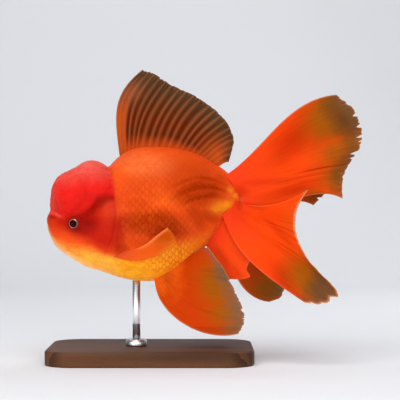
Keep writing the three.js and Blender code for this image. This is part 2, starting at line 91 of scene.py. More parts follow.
def through(pairs):
    """A smooth function through (position, value) pairs, in rising order of position."""
    x, v = np.array(pairs, float).T
    last = len(x) - 1
    before, after = np.maximum(np.arange(last + 1) - 1, 0), np.minimum(np.arange(last + 1) + 1, last)
    slope = (v[after] - v[before]) / (x[after] - x[before])

    def value(at):
        at = np.clip(at, x[0], x[-1])
        i = np.clip(np.searchsorted(x, at, side="right") - 1, 0, last - 1)
        w = x[i + 1] - x[i]
        t = (at - x[i]) / w
        t2, t3 = t * t, t * t * t
        return (
            (2 * t3 - 3 * t2 + 1) * v[i]
            + (t3 - 2 * t2 + t) * w * slope[i]
            + (3 * t2 - 2 * t3) * v[i + 1]
            + (t3 - t2) * w * slope[i + 1]
        )

    return value


def along(x):
    """Position along the body as a root, so that profiles leave the nose at a right angle."""
    return np.sqrt(np.clip((x - NOSE_X) / (STUMP_X - NOSE_X), 0, 1))


def profile(pairs):
    """A smooth function of x through (x, value) pairs, blunt at the nose."""
    value = through([(float(along(x)), v) for x, v in pairs])
    return lambda x: value(along(x))


back = profile([
    (NOSE_X, NOSE_Z), (-53, 84.5), (-46, 91), (-37, 97.5), (-28, 103), (-23.9, 105.8), (-17.5, 112),
    (-9, 116.4), (3, 117.3), (15, 116.4), (27, 112.6), (37, 106.9), (43, 102.4), (STUMP_X, 94.5),
])
belly = profile([
    (NOSE_X, NOSE_Z), (-55.8, 69.6), (-51.5, 62), (-45, 57), (-36, 51.6), (-27, 48.8), (-13, 44.5),
    (1, 43.4), (10, 46.2), (20, 53.3), (30, 62.2), (36, 70.8), (41, 77.6), (STUMP_X, 80.8),
])
half_width = profile([
    (NOSE_X, 0), (-55.6, 6.6), (-52, 11.6), (-47, 15.2), (-42, 17.4), (-34, 20.2), (-24, 23.4),
    (-10, 26), (4, 26.2), (15, 23.4), (25, 18.2), (33, 12.4), (41, 7.8), (STUMP_X, 5.2),
])
# Back edge of the gill covers and hood, where the head meets the trunk: height and x.
nape = through([
    (46, -30.5), (53.9, -28), (58.3, -24.4), (64.4, -20.6), (71.5, -18.2), (79.2, -17.5),
    (85.8, -18.2), (92.4, -19.5), (97, -20.3), (102.3, -21.6), (106.4, -23.9), (112, -28),
])
# Front edge of the gill covers: height and x.
gill_front = through([(57, -24), (60, -27.5), (64, -29.4), (70, -31), (77, -31), (84, -29.2), (88, -26)])

HOOD_LOBES = [  # centre and half-sizes; those off the middle are mirrored
    ((-46.9, 0, 89.4), (8.1, 15, 13.1)),
    ((-41.6, 0, 93), (9.2, 16, 12)),
    ((-32.4, 0, 95.6), (12.4, 20, 14.2)),
    ((-41.6, 9, 88.6), (10.6, 11, 10)),
    ((-27.5, 11.5, 93.4), (11, 10.8, 8.6)),
    ((-51.3, 0, 83.8), (3.5, 10, 5.2)),
]
LIPS = [((-54.3, 0, 76.9), (3, 6.4, 2.5)), ((-53.5, 0, 71.8), (2.9, 5.7, 2.5))]
NOSTRIL = ((-52.6, 8, 80.4), (2.6, 2.4, 1.8))
SOFT = {"lobes": 3.0, "hood": 1.4, "lips": 0.7, "nostrils": 0.8, "stump": 2.0}
GILL = {"proud": 0.9, "groove": 0.3, "width": 4, "fade": (7, 15), "bottom": (55, 65), "top": (84, 91)}


# ---------- flesh as one distance function, negative inside ----------

def ellipsoid(x, y, z, lobe):
    """Nearly the distance from an ellipsoid, given by its centre and half-sizes."""
    (cx, cy, cz), (a, b, c) = lobe
    dx, dy, dz = (x - cx) / a, (y - cy) / b, (z - cz) / c
    k = np.sqrt(dx * dx + dy * dy + dz * dz)
    slope = np.sqrt((dx / a) ** 2 + (dy / b) ** 2 + (dz / c) ** 2)
    return k * (k - 1) / np.maximum(slope, 1e-9)


def join(a, b, soft):
    """Union of two distances with a rounded join about `soft` wide."""
    h = np.clip(0.5 + 0.5 * (b - a) / soft, 0, 1)
    return b + (a - b) * h - soft * h * (1 - h)


def core(x, y, z):
    """Head and trunk without the hood."""
    top, bottom = back(x), belly(x)
    widest = bottom + (top - bottom) * GIRTH_SHARE
    rise = z - widest
    full = np.where(rise > 0, BACK_FULLNESS, BELLY_FULLNESS)
    tall = np.maximum(np.where(rise > 0, top - widest, widest - bottom), 0.05)
    wide = np.maximum(half_width(x), 0.05)
    share = ((np.abs(y) / wide) ** full + (np.abs(rise) / tall) ** full) ** (1 / full)
    radial = np.hypot(y, rise) * (1 - 1 / np.maximum(share, 1e-6))
    return radial + np.maximum(NOSE_X - x, 0)


def gill_lift(x, y, z):
    """How far a gill cover stands proud, with a free back edge and a groove behind it."""
    ahead = nape(z) - x
    side = smooth(np.abs(y), 7, 13)
    tall = smooth(z, *GILL["bottom"]) * (1 - smooth(z, *GILL["top"]))
    plate = smooth(ahead, -0.5, 2.4) * (1 - smooth(ahead, *GILL["fade"]))
    groove = smooth(ahead, -GILL["width"], -0.4) * (1 - smooth(ahead, -0.4, 1.6))
    return side * tall * (GILL["proud"] * plate - GILL["groove"] * groove)


def hood_distance(x, y, z):
    """Distance from the hood's lobes, melted into one another."""
    hood = None
    for lobe in HOOD_LOBES:
        part = ellipsoid(x, np.abs(y) if lobe[0][1] else y, z, lobe)
        hood = part if hood is None else join(hood, part, SOFT["lobes"])
    return hood


def flesh(p):
    """Distance of points p (n, 3) from the bare fish, without its fins."""
    x, y, z = p[:, 0], p[:, 1], p[:, 2]
    d = core(x, y, z) - gill_lift(x, y, z)
    d = join(d, hood_distance(x, y, z), SOFT["hood"])
    for lip in LIPS:
        d = join(d, ellipsoid(x, y, z, lip), SOFT["lips"])
    d = join(d, ellipsoid(x, np.abs(y), z, NOSTRIL), SOFT["nostrils"])
    return -join(-d, STUMP_X - x, SOFT["stump"])


# The skin is a net of rings and spokes round a line inside the body, from the nose to the stump.
SPINE = np.array([(-36.0, 0, 79), (41, 0, 90)])
NOSE_SHARE, STUMP_SHARE = 0.32, 0.12
TILT = (82, 18, 80)  # degrees that the rings turn through at the nose, between, and at the stump
REACH, STEP, HALVINGS = 60.0, 1.0, 16


def skin_net(rings, spokes):
    """Points (rings + 1, spokes, 3) of the bare skin, both ends drawn to one point."""
    turns = np.arange(spokes) * 2 * math.pi / spokes
    u, turn = np.meshgrid(np.linspace(0, 1, rings + 1), turns, indexing="ij")
    u, turn = u.ravel(), turn.ravel()
    nose = np.clip(u / NOSE_SHARE, 0, 1)
    stump = np.clip((u - 1 + STUMP_SHARE) / STUMP_SHARE, 0, 1)
    middle = np.clip((u - NOSE_SHARE) / (1 - NOSE_SHARE - STUMP_SHARE), 0, 1)
    origin = SPINE[0] + (SPINE[1] - SPINE[0]) * middle[:, None]
    tilt = np.radians(TILT[0] * nose + TILT[1] * middle + TILT[2] * stump)
    way = np.stack([-np.cos(tilt), np.sin(tilt) * np.sin(turn), np.sin(tilt) * np.cos(turn)], 1)
    near = np.full(len(u), REACH)
    moving = np.arange(len(u))
    while len(moving):
        outside = flesh(origin[moving] + way[moving] * near[moving, None]) > 0
        moving = moving[outside & (near[moving] > STEP)]
        near[moving] -= STEP
    far = near + STEP
    for _ in range(HALVINGS):
        middle_way = (near + far) / 2
        outside = flesh(origin + way * middle_way[:, None]) > 0
        far = np.where(outside, middle_way, far)
        near = np.where(outside, near, middle_way)
    return (origin + way * near[:, None]).reshape(rings + 1, spokes, 3)


def net_normals(net):
    """Outward normals of a net whose spokes close round it."""
    along_rings = np.gradient(net, axis=0)
    wrapped = np.concatenate([net[:, -1:], net, net[:, :1]], 1)
    along_spokes = (wrapped[:, 2:] - wrapped[:, :-2]) / 2
    normal = np.cross(along_rings, along_spokes)
    length = np.linalg.norm(normal, axis=2, keepdims=True)
    normal = normal / np.maximum(length, 1e-9)
    normal[0], normal[-1] = (-1, 0, 0), (1, 0, 0)
    return normal


# ---------- scattered patterns ----------

def scattered(cell, seed):
    """Three random numbers from 0 to 1 for each whole-numbered cell (n, 3)."""
    c = cell.astype(np.int64)
    h = (c[:, 0] * 73856093) ^ (c[:, 1] * 19349663) ^ (c[:, 2] * 83492791) ^ (seed * 2654435761)
    out = []
    for turn in (1, 2, 3):
        h = (h ^ (h >> 13)) * 1274126177 & 0x7FFFFFFF
        out.append(((h >> turn) % 100003) / 100003)
    return np.stack(out, 1)


def cobbles(p, size, seed):
    """Rounded bumps, 0 in the creases between them and up to 1 at their middles, about `size` across."""
    q = p / size
    base = np.floor(q)
    first, second = np.full(len(p), 9.0), np.full(len(p), 9.0)
    for shift in itertools.product((-1, 0, 1), repeat=3):
        cell = base + shift
        d = np.linalg.norm(cell + scattered(cell, seed) - q, axis=1)
        second = np.where(d < first, first, np.minimum(second, d))
        first = np.minimum(first, d)
    return np.sqrt(np.clip((second - first) / 0.55, 0, 1))


def drift(p, size, seed):
    """Slow, smooth variation from -1 to 1, made of a few waves in fixed random directions."""
    dice = np.random.default_rng(seed)
    total = np.zeros(len(p))
    for _ in range(5):
        way = dice.normal(size=3)
        way *= 2 * math.pi / size / np.linalg.norm(way)
        total += np.sin(p @ way + dice.uniform(0, 2 * math.pi))
    return total / 5 * 1.6


def from_patch(p, x, z, wide, tall, tilt):
    """How far points lie from a tilted patch's middle, seen from the side, in shares of its half-sizes."""
    c, s = math.cos(math.radians(tilt)), math.sin(math.radians(tilt))
    dx, dz = p[:, 0] - x, p[:, 2] - z
    return (dx * c + dz * s) / wide, (dz * c - dx * s) / tall


def haze(p, x, z, wide, tall, tilt=0.0):
    """A patch seen from the side that fades out evenly from 1 in its middle."""
    a, b = from_patch(p, x, z, wide, tall, tilt)
    return np.exp(-1.1 * (a**2 + b**2))


def blob(p, x, z, wide, tall, tilt=0.0):
    """A soft oval patch seen from the side, 1 in its middle."""
    return 1 - smooth(np.hypot(*from_patch(p, x, z, wide, tall, tilt)), 0.35, 1.15)


# ---------- relief and markings of the skin ----------

EYE_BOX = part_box("eye_left")
EYE_AT = np.array((EYE_BOX[0] + EYE_BOX[1]) / 2) / MM
EYE_RADIUS = (EYE_BOX[1].z - EYE_BOX[0].z) / 2 / MM
EYE_LOOK = 12.0  # degrees that an eye looks forward of straight out
MOUTH_Z = 74.4


def eye_axis(side):
    """The way that the eye of one side looks, -1 for the fish's left."""
    look = math.radians(EYE_LOOK)
    return np.array((-math.sin(look), side * math.cos(look), 0))


# Lower edge of the hood, seen from the side: x and height.
hood_edge = through([
    (-60, 80.4), (-52.3, 79.4), (-47.6, 78.4), (-41.5, 79.2),
    (-35.8, 80.9), (-31.6, 84), (-27, 88.6), (-12, 90.6),
])


def hood_mask(p):
    """1 on the hood and 0 off it."""
    x, y, z = p[:, 0], p[:, 1], p[:, 2]
    gap = core(x, y, z) - hood_distance(x, y, z)
    zone = smooth(z - hood_edge(x), -0.8, 0.8)
    return np.maximum(smooth(gap, -0.5, 0.9), 0.9 * zone) * zone * smooth(nape(z) - x, -1.2, 0.6)


def scaled_mask(p):
    """1 where the body has scales."""
    return smooth(p[:, 0] - nape(p[:, 2]), 0.6, 2.4)


def scale_show(p):
    """How clearly the scales stand out: least on the smooth upper side, most on the belly."""
    show = 0.06 + 0.2 * blob(p, 2, 82, 34, 30, -6) + 0.16 * blob(p, 1, 75, 25, 12, -6)
    show += 0.15 * blob(p, -1, 89.5, 12, 11, -50)
    show = np.maximum(show, 0.9 * blob(p, 11, 57, 17, 11, 12))
    return np.clip(show, 0, 1)


LUMPS = ((43.8, 93.6, 2.2), (46.2, 90.2, 1.9))  # x, height and half-length


def stalk_lumps(p):
    """Small lumps of flesh where the stalk meets the tail, 1 at their tops."""
    return sum(haze(p, x, z, half, half * 0.9) for x, z, half in LUMPS)


def form_relief(p):
    """Folds and lumps of the flesh that the scales follow, in millimetres outwards."""
    slack = drift(p, 22, 4) * scaled_mask(p)
    return -0.42 * fold_waves(p) * scaled_mask(p) + 0.16 * slack + 0.5 * stalk_lumps(p)


fold_line = through([(8, 86.6), (17, 91.2), (25, 94.9), (31, 95.2), (36, 94.1), (44, 91.6)])
fold_gap = through([(8, 7), (24, 5.9), (36, 4.4), (44, 3.4)])


def fold_waves(p):
    """Long wrinkles below the back fin that arch back to the stalk, 1 in their bottoms."""
    where = blob(p, 26.5, 93.2, 20, 11, 5)
    turn = 2 * math.pi * (p[:, 2] - fold_line(p[:, 0]) + 0.5 * drift(p, 15, 7)) / fold_gap(p[:, 0])
    wide, narrow = (0.5 + 0.5 * np.cos(turn)) ** 1.6, (0.5 + 0.5 * np.cos(2 * turn + 1.2)) ** 2
    return where * np.clip(wide + 0.3 * narrow, 0, 1)


def fine_relief(p, hood, nodule_height):
    """Detail of the bare skin, in millimetres outwards."""
    x, y, z = p[:, 0], p[:, 1], p[:, 2]
    side = np.abs(y)
    out = np.zeros(len(p))
    on = hood > 0.01
    lumps = 0.55 * cobbles(p[on] + 0.8 * drift(p[on], 9, 3)[:, None], 4.6, 1) + 0.3 * cobbles(p[on], 2.3, 2)
    out[on] += nodule_height * hood[on] * (lumps - 0.45)
    face = smooth(nape(z) - x, 0, 2) * (1 - hood)
    fine = face > 0.01
    out[fine] += 0.05 * face[fine] * (cobbles(p[fine], 1.5, 5) - 0.6)
    mouth_line = MOUTH_Z - 0.035 * y * y
    at_mouth = (1 - smooth(side, 4.2, 5.8)) * (1 - smooth(x, -52.5, -50.5))
    out -= 1.1 * np.exp(-(((z - mouth_line) / 0.34) ** 2)) * at_mouth
    flap_x, flap_z = x + 51.6, z - 79.7  # from the middle of the nostril's flap
    lengthwise = (flap_x * 0.88 - flap_z * 0.47) / 2.1
    sideways = (flap_x * 0.47 + flap_z * 0.88) / 0.62
    flap = smooth(side, 4, 6.5) * (1 - smooth(side, 11, 13))
    out += 0.75 * flap * np.exp(-(lengthwise**4) - sideways**2)
    out -= 0.5 * flap * np.exp(-(lengthwise**4) - (sideways + 2.1) ** 2)
    out -= 0.35 * flap * np.exp(-(lengthwise**4) - (sideways - 2.0) ** 2)
    fold = (x + 50.4) + 0.25 * (z - 85) + 0.02 * (z - 85) ** 2  # from the fold of the hood's front
    at_fold = hood * smooth(z, 79, 82) * (1 - smooth(z, 86, 92)) * smooth(side, 4, 8)
    out -= 0.3 * np.exp(-((fold / 1.1) ** 2)) * at_fold
    crease = np.exp(-(((x - gill_front(z)) / 0.55) ** 2)) * smooth(z, 57, 61) * (1 - smooth(z, 82, 87))
    out -= 0.12 * crease * smooth(side, 8, 12)
    spread = np.arctan2(z - 80, x + 33)  # the gill cover's ribs fan out from behind the eye
    ribs = np.sin(spread * 34) * smooth(nape(z) - x, 0.5, 2) * (1 - smooth(nape(z) - x, 9, 13))
    out += 0.02 * ribs * smooth(side, 12, 15) * (1 - hood) * smooth(z, 57, 62)
    for way in (-1, 1):
        v = p - EYE_AT * (1, -way, 1)
        axis = eye_axis(way)
        off = np.linalg.norm(v - (v @ axis)[:, None] * axis, axis=1)
        near = (v @ axis > 0) & (off < 8)
        rim = 0.62 * np.exp(-(((off - 3.35) / 0.42) ** 2)) - 0.2 * np.exp(-(((off - 4.5) / 0.6) ** 2))
        well = -0.9 * (1 - smooth(off, 2.2, 3.1))
        out += np.where(near, rim + well, 0)
    return out


# Seen from the side: where the head's red ends, where the yellow starts, how softly, and its strength.
head_edge = through([(-57, 73), (-48, 71.5), (-40, 69), (-33, 65.5), (-27, 62), (-20, 60.5), (-10, 60)])
gold_edge = through([
    (-57, 66.4), (-47, 62.9), (-36, 60.6), (-28, 59.8), (-18, 57), (-6, 55),
    (0, 59), (6, 64), (13, 64.5), (20, 65), (28, 69), (36, 74),
])
gold_soft = through([(-57, 5.5), (-42, 6), (-32, 4.4), (-24, 2.4), (-8, 2.4), (6, 3.6), (28, 4)])
gold_share = through([
    (-57, 0.75), (-45, 1), (-8, 0.96), (2, 0.72), (12, 0.6), (20, 0.45), (28, 0.26), (36, 0.14),
])


def markings(p, hood):
    """The colour masks at points p, each from 0 to 1: (head, gold, dark) and (hood, pinkish highlight, pale).
    Dark is partly darker skin and partly painted shade, the pinkish highlight is painted light, and pale is
    cream that paints rim light under the chin and sheen on the back, and lightens the gold throat.
    """
    x, y, z = p[:, 0], p[:, 1], p[:, 2]
    head = smooth(nape(z) - x, -3, 1.2)
    behind = x - nape(z) - 3 * smooth(66 - z, 0, 6)
    spread = (1 - smooth(behind, 2, 8.5)) * smooth(z, 54, 58) * (1 - smooth(z, 76, 84))
    head = np.maximum(head, 0.92 * spread * smooth(x, -26, -22))
    head *= 1 - 0.22 * blob(p, -20.5, 82.5, 8, 10, 60)
    head *= 1 - 0.9 * smooth(head_edge(x) - z, -4.5, 4.5)
    head *= 1 - 0.3 * smooth(-48 - x, 0, 6) * smooth(80 - z, 0, 3)
    wobble = 1.2 * drift(p, 17, 6)
    gold = smooth((gold_edge(x) - z + wobble) / gold_soft(x), -1, 0.9) * gold_share(x)
    gold = np.maximum(gold, 0.68 * haze(p, 38.8, 84.2, 6.5, 4, 8))
    gold = np.maximum(gold, 0.46 * stalk_lumps(p))
    # The next two lighter gold patches are painted highlights, on the top of the back and in the middle of
    # the side.
    gold = np.maximum(gold, 0.1 * haze(p, -4, 106, 19, 8, 6))
    gold = np.maximum(gold, 0.09 * haze(p, 7, 88.5, 9, 4.5, -25))
    gold = np.maximum(gold, 0.2 * haze(p, 32.5, 66.5, 4.5, 5))
    # Painted shadow below the hood's lower edge, narrower towards the nape.
    below = hood_edge(x) - z
    short = smooth(x, -27, -21)
    shade = smooth(below, -4, 0.8) * (1 - smooth(below, 2.5 - 1.5 * short, 9 - 5 * short))
    shade *= smooth(nape(z) - x, -1, 1)
    shade *= smooth(x, -46, -38) * smooth(np.abs(y), 9, 14)
    dark = 0.85 * shade
    # Darker patches, some of them painted shade or shadow as noted.
    for x_at, z_at, wide, tall, tilt, depth in (
        (3, 75, 26, 10.5, -3, 1.0),  # the side above the pectoral fin
        (24, 79, 10, 7, -60, 0.62),  # the rear of the side
        (-7, 66.5, 9, 5, 0, 0.45),  # over the pectoral fin
        (-1, 95, 19, 10, 0, 0.34),  # the side under the shoulder
        (37.5, 99, 6, 4.5, -35, 0.5),  # the top of the stalk
        (-7, 86, 11, 5, 0, 0.46),  # the middle of the side
        (24.5, 85, 5.5, 3.2, 0, 0.5),  # under the folds
        (-13.5, 88, 6, 8, 0, 0.3),  # painted shade behind the gill opening
        (22, 98, 23, 15, -18, 0.5),  # the back, down to the folds
        (31, 79.5, 8, 4.5, -20, 0.6),  # under the stalk
        (-36.5, 75.3, 11.5, 8, 0, 0.92),  # painted shadow under the hood, round and behind the eye
        (-15.3, 67, 3.4, 12, 0, 0.5),  # painted shadow in the gap along the gill opening
        (-14.6, 62, 5.4, 5.2, -8, 0.65),  # painted shadow in the pocket above the pectoral fin's root
        (-50.6, 84.5, 1.6, 5.5, 12, 0.4),  # painted shade in the fold of the hood's front
    ):
        dark = np.maximum(dark, depth * blob(p, x_at, z_at, wide, tall, tilt))
    dark *= 1 - 0.45 * blob(p, 15, 81.5, 22, 4.2, -48)
    # The broad darker area over the folds, with painted shade in the bottoms of the folds.
    dark = np.maximum(dark, np.clip(0.68 * blob(p, 26.5, 93.2, 20, 11, 5) + 0.45 * fold_waves(p), 0, 1))
    dark *= 1 - 0.8 * gold
    # Painted highlight in pinkish red: on top of the hood and along its front, a line along each nostril
    # flap, and a faint touch on the gill covers' top.
    pink = hood * np.maximum(smooth(z - 0.1 * (x + 45), 92, 107), 0.45 * (1 - smooth(x, -56, -46)))
    pink = np.maximum(pink, 0.8 * haze(p, -50.8, 80.2, 3.4, 0.9, -28))
    pink = np.maximum(pink, 0.1 * blob(p, -20.5, 83.5, 5, 6, 60) * (1 - hood))
    # Pale cream: painted rim light under the chin, a touch over the gold of the throat, and painted sheen on
    # the top of the back.
    pale = 0.7 * smooth(belly(x) + 2.6 + 0.6 * drift(p, 11, 8) - z, -3.5, 2.5) * smooth(-18 - x, 0, 22)
    pale = np.maximum(pale, 0.13 * gold * smooth(-12 - x, 0, 12))
    pale = np.maximum(pale, 0.065 * blob(p, -5, 108.5, 20, 9, -8))
    return np.stack([head, gold, dark], 1), np.stack([hood, pink, pale], 1)


# ---------- meshes ----------

def make_mesh(name, points, quads, triangles=()):
    """A smooth-shaded mesh from points in millimetres and arrays of corners."""
    quads = np.asarray(quads, np.int32).reshape(-1, 4)
    triangles = np.asarray(triangles, np.int32).reshape(-1, 3)
    mesh = bpy.data.meshes.new(name)
    mesh.vertices.add(len(points))
    mesh.vertices.foreach_set("co", (np.asarray(points) * MM).astype(np.float32).ravel())
    corners = np.concatenate([quads.ravel(), triangles.ravel()])
    starts = np.concatenate([np.arange(len(quads)) * 4, len(quads) * 4 + np.arange(len(triangles)) * 3])
    mesh.loops.add(len(corners))
    mesh.loops.foreach_set("vertex_index", corners)
    mesh.polygons.add(len(starts))
    mesh.polygons.foreach_set("loop_start", starts.astype(np.int32))
    mesh.update(calc_edges=True)
    mesh.shade_smooth()
    return mesh


def set_vectors(mesh, name, values):
    """Stores three numbers at each point, for the material to read by name."""
    made = mesh.attributes.new(name, "FLOAT_VECTOR", "POINT")
    made.data.foreach_set("vector", np.asarray(values, np.float32).ravel())


def set_map(mesh, name, places):
    """A UV map with a place for each corner (n, 2)."""
    made = mesh.uv_layers.new(name=name)
    made.data.foreach_set("uv", np.asarray(places, np.float32).ravel())


def corner_points(mesh):
    """The point that each corner of the faces belongs to."""
    index = np.empty(len(mesh.loops), np.int32)
    mesh.loops.foreach_get("vertex_index", index)
    return index


def add_piece(name, mesh, material, nodes=()):
    """A piece of the model on the one body, standing for the given solids."""
    piece = bpy.data.objects.new(name, mesh)
    bpy.context.scene.collection.objects.link(piece)
    if material is not None:
        mesh.materials.clear()
        mesh.materials.append(material)
    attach(piece, "root")
    if nodes:
        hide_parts(*nodes)
    return piece


def sheet_faces(across, out):
    """Quads of two layers of (across + 1) by (out + 1) points, joined round their edges."""
    row = out + 1
    below = (across + 1) * row
    i, j = np.meshgrid(np.arange(across), np.arange(out), indexing="ij")
    a = (i * row + j).ravel()
    upper = np.stack([a, a + row, a + row + 1, a + 1], 1)
    lower = np.stack([below + a, below + a + 1, below + a + row + 1, below + a + row], 1)
    k = np.arange(across) * row
    ends = np.concatenate([
        np.stack([k, below + k, below + k + row, k + row], 1),
        np.stack([k + out, k + row + out, below + k + row + out, below + k + out], 1),
    ])
    m = np.arange(out)
    last = across * row + m
    sides = np.concatenate([
        np.stack([m, m + 1, below + m + 1, below + m], 1),
        np.stack([last, below + last, below + last + 1, last + 1], 1),
    ])
    return np.concatenate([upper, lower, ends, sides])


def shell_faces(rings, spokes, turned_over=False):
    """Quads between rings of points, and triangles to the two points that close the ends and come last."""
    grid = np.arange(rings * spokes).reshape(rings, spokes)
    following = np.roll(grid, -1, axis=1)
    quads = np.stack([grid[:-1], grid[1:], following[1:], following[:-1]], -1).reshape(-1, 4)
    caps = np.concatenate([
        np.stack([np.full(spokes, grid.size), grid[0], following[0]], 1),
        np.stack([np.full(spokes, grid.size + 1), following[-1], grid[-1]], 1),
    ])
    if turned_over:
        return quads[:, [0, 3, 2, 1]], caps[:, [0, 2, 1]]
    return quads, caps


# ---------- materials ----------

class Nodes:
    """Builds a node tree with short calls. Each call returns the socket it makes."""

    def __init__(self, tree):
        self.tree = tree
        self.column = 0

    def add(self, kind, **settings):
        node = self.tree.nodes.new(kind)
        node.location = (self.column * 180, 0)
        self.column += 1
        for name, value in settings.items():
            setattr(node, name, value)
        return node

    def feed(self, socket, value):
        if isinstance(value, bpy.types.NodeSocket):
            self.tree.links.new(value, socket)
        elif isinstance(value, (tuple, list)) and len(value) == 3 and socket.type == "RGBA":
            socket.default_value = (*value, 1)
        elif value is not None:
            socket.default_value = value

    def maths(self, operation, a, b=None, c=None):
        node = self.add("ShaderNodeMath", operation=operation)
        for socket, value in zip(node.inputs, (a, b, c)):
            self.feed(socket, value)
        return node.outputs[0]

    def blend(self, share, a, b, way="MIX"):
        node = self.add("ShaderNodeMix", data_type="RGBA", blend_type=way, clamp_result=True)
        self.feed(node.inputs["Factor"], share)
        self.feed(node.inputs[6], a)
        self.feed(node.inputs[7], b)
        return node.outputs[2]

    def remap(self, value, low, high, to_low=0.0, to_high=1.0, way="SMOOTHSTEP"):
        node = self.add("ShaderNodeMapRange", interpolation_type=way)
        for socket, given in zip(node.inputs, (value, low, high, to_low, to_high)):
            self.feed(socket, given)
        return node.outputs[0]

    def noise(self, vector, scale, detail=3.0, roughness=0.55):
        node = self.add("ShaderNodeTexNoise")
        self.feed(node.inputs["Vector"], vector)
        self.feed(node.inputs["Scale"], scale)
        self.feed(node.inputs["Detail"], detail)
        self.feed(node.inputs["Roughness"], roughness)
        return node.outputs[0]

    def attribute(self, name):
        return self.add("ShaderNodeAttribute", attribute_name=name).outputs["Vector"]

    def parts(self, vector):
        node = self.add("ShaderNodeSeparateXYZ")
        self.feed(node.inputs[0], vector)
        return node.outputs

    def places(self):
        return self.add("ShaderNodeTexCoord").outputs["Object"]

    def stretched(self, vector, scale):
        node = self.add("ShaderNodeMapping")
        self.feed(node.inputs["Vector"], vector)
        node.inputs["Scale"].default_value = scale
        return node.outputs[0]

    def group(self, tree, **values):
        node = self.add("ShaderNodeGroup", node_tree=tree)
        for name, value in values.items():
            self.feed(node.inputs[name.replace("_", " ")], value)
        return node.outputs


def node_group(name, inputs, outputs):
    """An empty node group with named sockets: {name: default}. Returns it with its Nodes and ends."""
    tree = bpy.data.node_groups.new(name, "ShaderNodeTree")
    kinds = {float: "NodeSocketFloat", tuple: "NodeSocketColor", str: "NodeSocketVector"}
    for label, default in inputs.items():
        made = tree.interface.new_socket(label, in_out="INPUT", socket_type=kinds[type(default)])
        if isinstance(default, float):
            made.default_value = default
        elif isinstance(default, tuple):
            made.default_value = (*default, 1)
    for label, kind in outputs.items():
        tree.interface.new_socket(label, in_out="OUTPUT", socket_type=kinds[kind])
    nodes = Nodes(tree)
    return tree, nodes, nodes.add("NodeGroupInput").outputs, nodes.add("NodeGroupOutput").inputs


def once(build):
    """Keeps what a builder made the first time."""
    made = {}

    def get(*given):
        if given not in made:
            made[given] = build(*given)
        return made[given]

    return get


@once
def markings_group():
    """Mixes the fish's colours from its masks, among them painted shade, a painted highlight, painted rim
    light and sheen, with soft mottling.
    """
    tree, n, given, out = node_group(
        "oranda markings",
        {"Marks": "", "Hood marks": "", "Flank": (0.9, 0.1, 0.02), "Head": (0.6, 0.02, 0.01),
         "Hood": (0.9, 0.02, 0.01), "Gold": (0.9, 0.4, 0.03), "Dark flank": (0.4, 0.03, 0.0),
         "Dark head": (0.3, 0.01, 0.0), "Pink": (0.9, 0.1, 0.08), "Cream": (0.9, 0.6, 0.3), "Mottle": 0.2},
        {"Color": tuple},
    )
    place = n.places()
    head, gold, dark = n.parts(given["Marks"])
    hood, pink, pale = n.parts(given["Hood marks"])
    cloud = n.noise(n.stretched(place, (1.0, 1.0, 1.7)), 190.0, 4.0, 0.62)
    speck = n.noise(place, 900.0, 2.0, 0.5)
    broken = n.maths("ADD", n.maths("MULTIPLY", cloud, 0.7), n.maths("MULTIPLY", speck, 0.3))
    patchy = n.remap(broken, 0.32, 0.68, 0.72, 1.1)
    colour = n.blend(head, given["Flank"], given["Head"])
    colour = n.blend(n.maths("MULTIPLY", gold, patchy), colour, given["Gold"])
    # Dark: darker skin on the side, and painted shade on the head and hood and in the folds.
    shade = n.blend(head, given["Dark flank"], given["Dark head"])
    colour = n.blend(n.maths("MULTIPLY", dark, patchy), colour, shade)
    shaded_hood = n.blend(n.maths("MULTIPLY", dark, 0.75), given["Hood"], given["Dark head"])
    colour = n.blend(hood, colour, shaded_hood)
    # Pinkish painted highlight, then cream, which paints rim light under the chin and sheen on the top of the
    # back.
    colour = n.blend(n.maths("MULTIPLY", pink, patchy), colour, given["Pink"])
    colour = n.blend(n.maths("MULTIPLY", pale, patchy), colour, given["Cream"])
    light = n.remap(broken, 0.3, 0.7, 0.0, 1.0)
    darker = n.blend(given["Mottle"], colour, n.blend(1.0, colour, (0.55, 0.4, 0.34), "MULTIPLY"))
    n.feed(out["Color"], n.blend(light, darker, colour))
    return tree


@once
def wet_skin_group():
    """Uneven gloss and fine grain of moist skin."""
    tree, n, given, out = node_group(
        "moist skin", {"Gloss": 0.3, "Grain": 1500.0}, {"Roughness": float, "Height": float}
    )
    place = n.places()
    grain = n.noise(place, given["Grain"], 3.0, 0.6)
    film = n.noise(place, 210.0, 3.0, 0.6)
    n.feed(out["Roughness"], n.maths("ADD", given["Gloss"], n.remap(film, 0.3, 0.7, -0.07, 0.12)))
    n.feed(out["Height"], grain)
    return tree


def principled(name, **values):
    """A material with its own Principled shader: returns the material, its Nodes and the shader."""
    material = bpy.data.materials.new(name)
    material.use_nodes = True
    material.node_tree.nodes.clear()
    n = Nodes(material.node_tree)
    shader = n.add("ShaderNodeBsdfPrincipled")
    output = n.add("ShaderNodeOutputMaterial")
    material.node_tree.links.new(shader.outputs[0], output.inputs["Surface"])
    for label, value in values.items():
        n.feed(shader.inputs[label.replace("_", " ")], value)
    return material, n, shader


def dress(n, shader, colour, roughness, height, strength, distance):
    """Gives a shader its colour, its roughness and a fine relief up to `distance` metres high."""
    n.feed(shader.inputs["Base Color"], colour)
    n.feed(shader.inputs["Roughness"], roughness)
    bump = n.add("ShaderNodeBump")
    bump.inputs["Strength"].default_value = strength
    bump.inputs["Distance"].default_value = distance
    n.feed(bump.inputs["Height"], height)
    n.feed(shader.inputs["Normal"], bump.outputs[0])


def colours_of(props, *names):
    """The chosen colours by the names of a group's inputs."""
    return {name: tuple(getattr(props, name.lower())) for name in names}


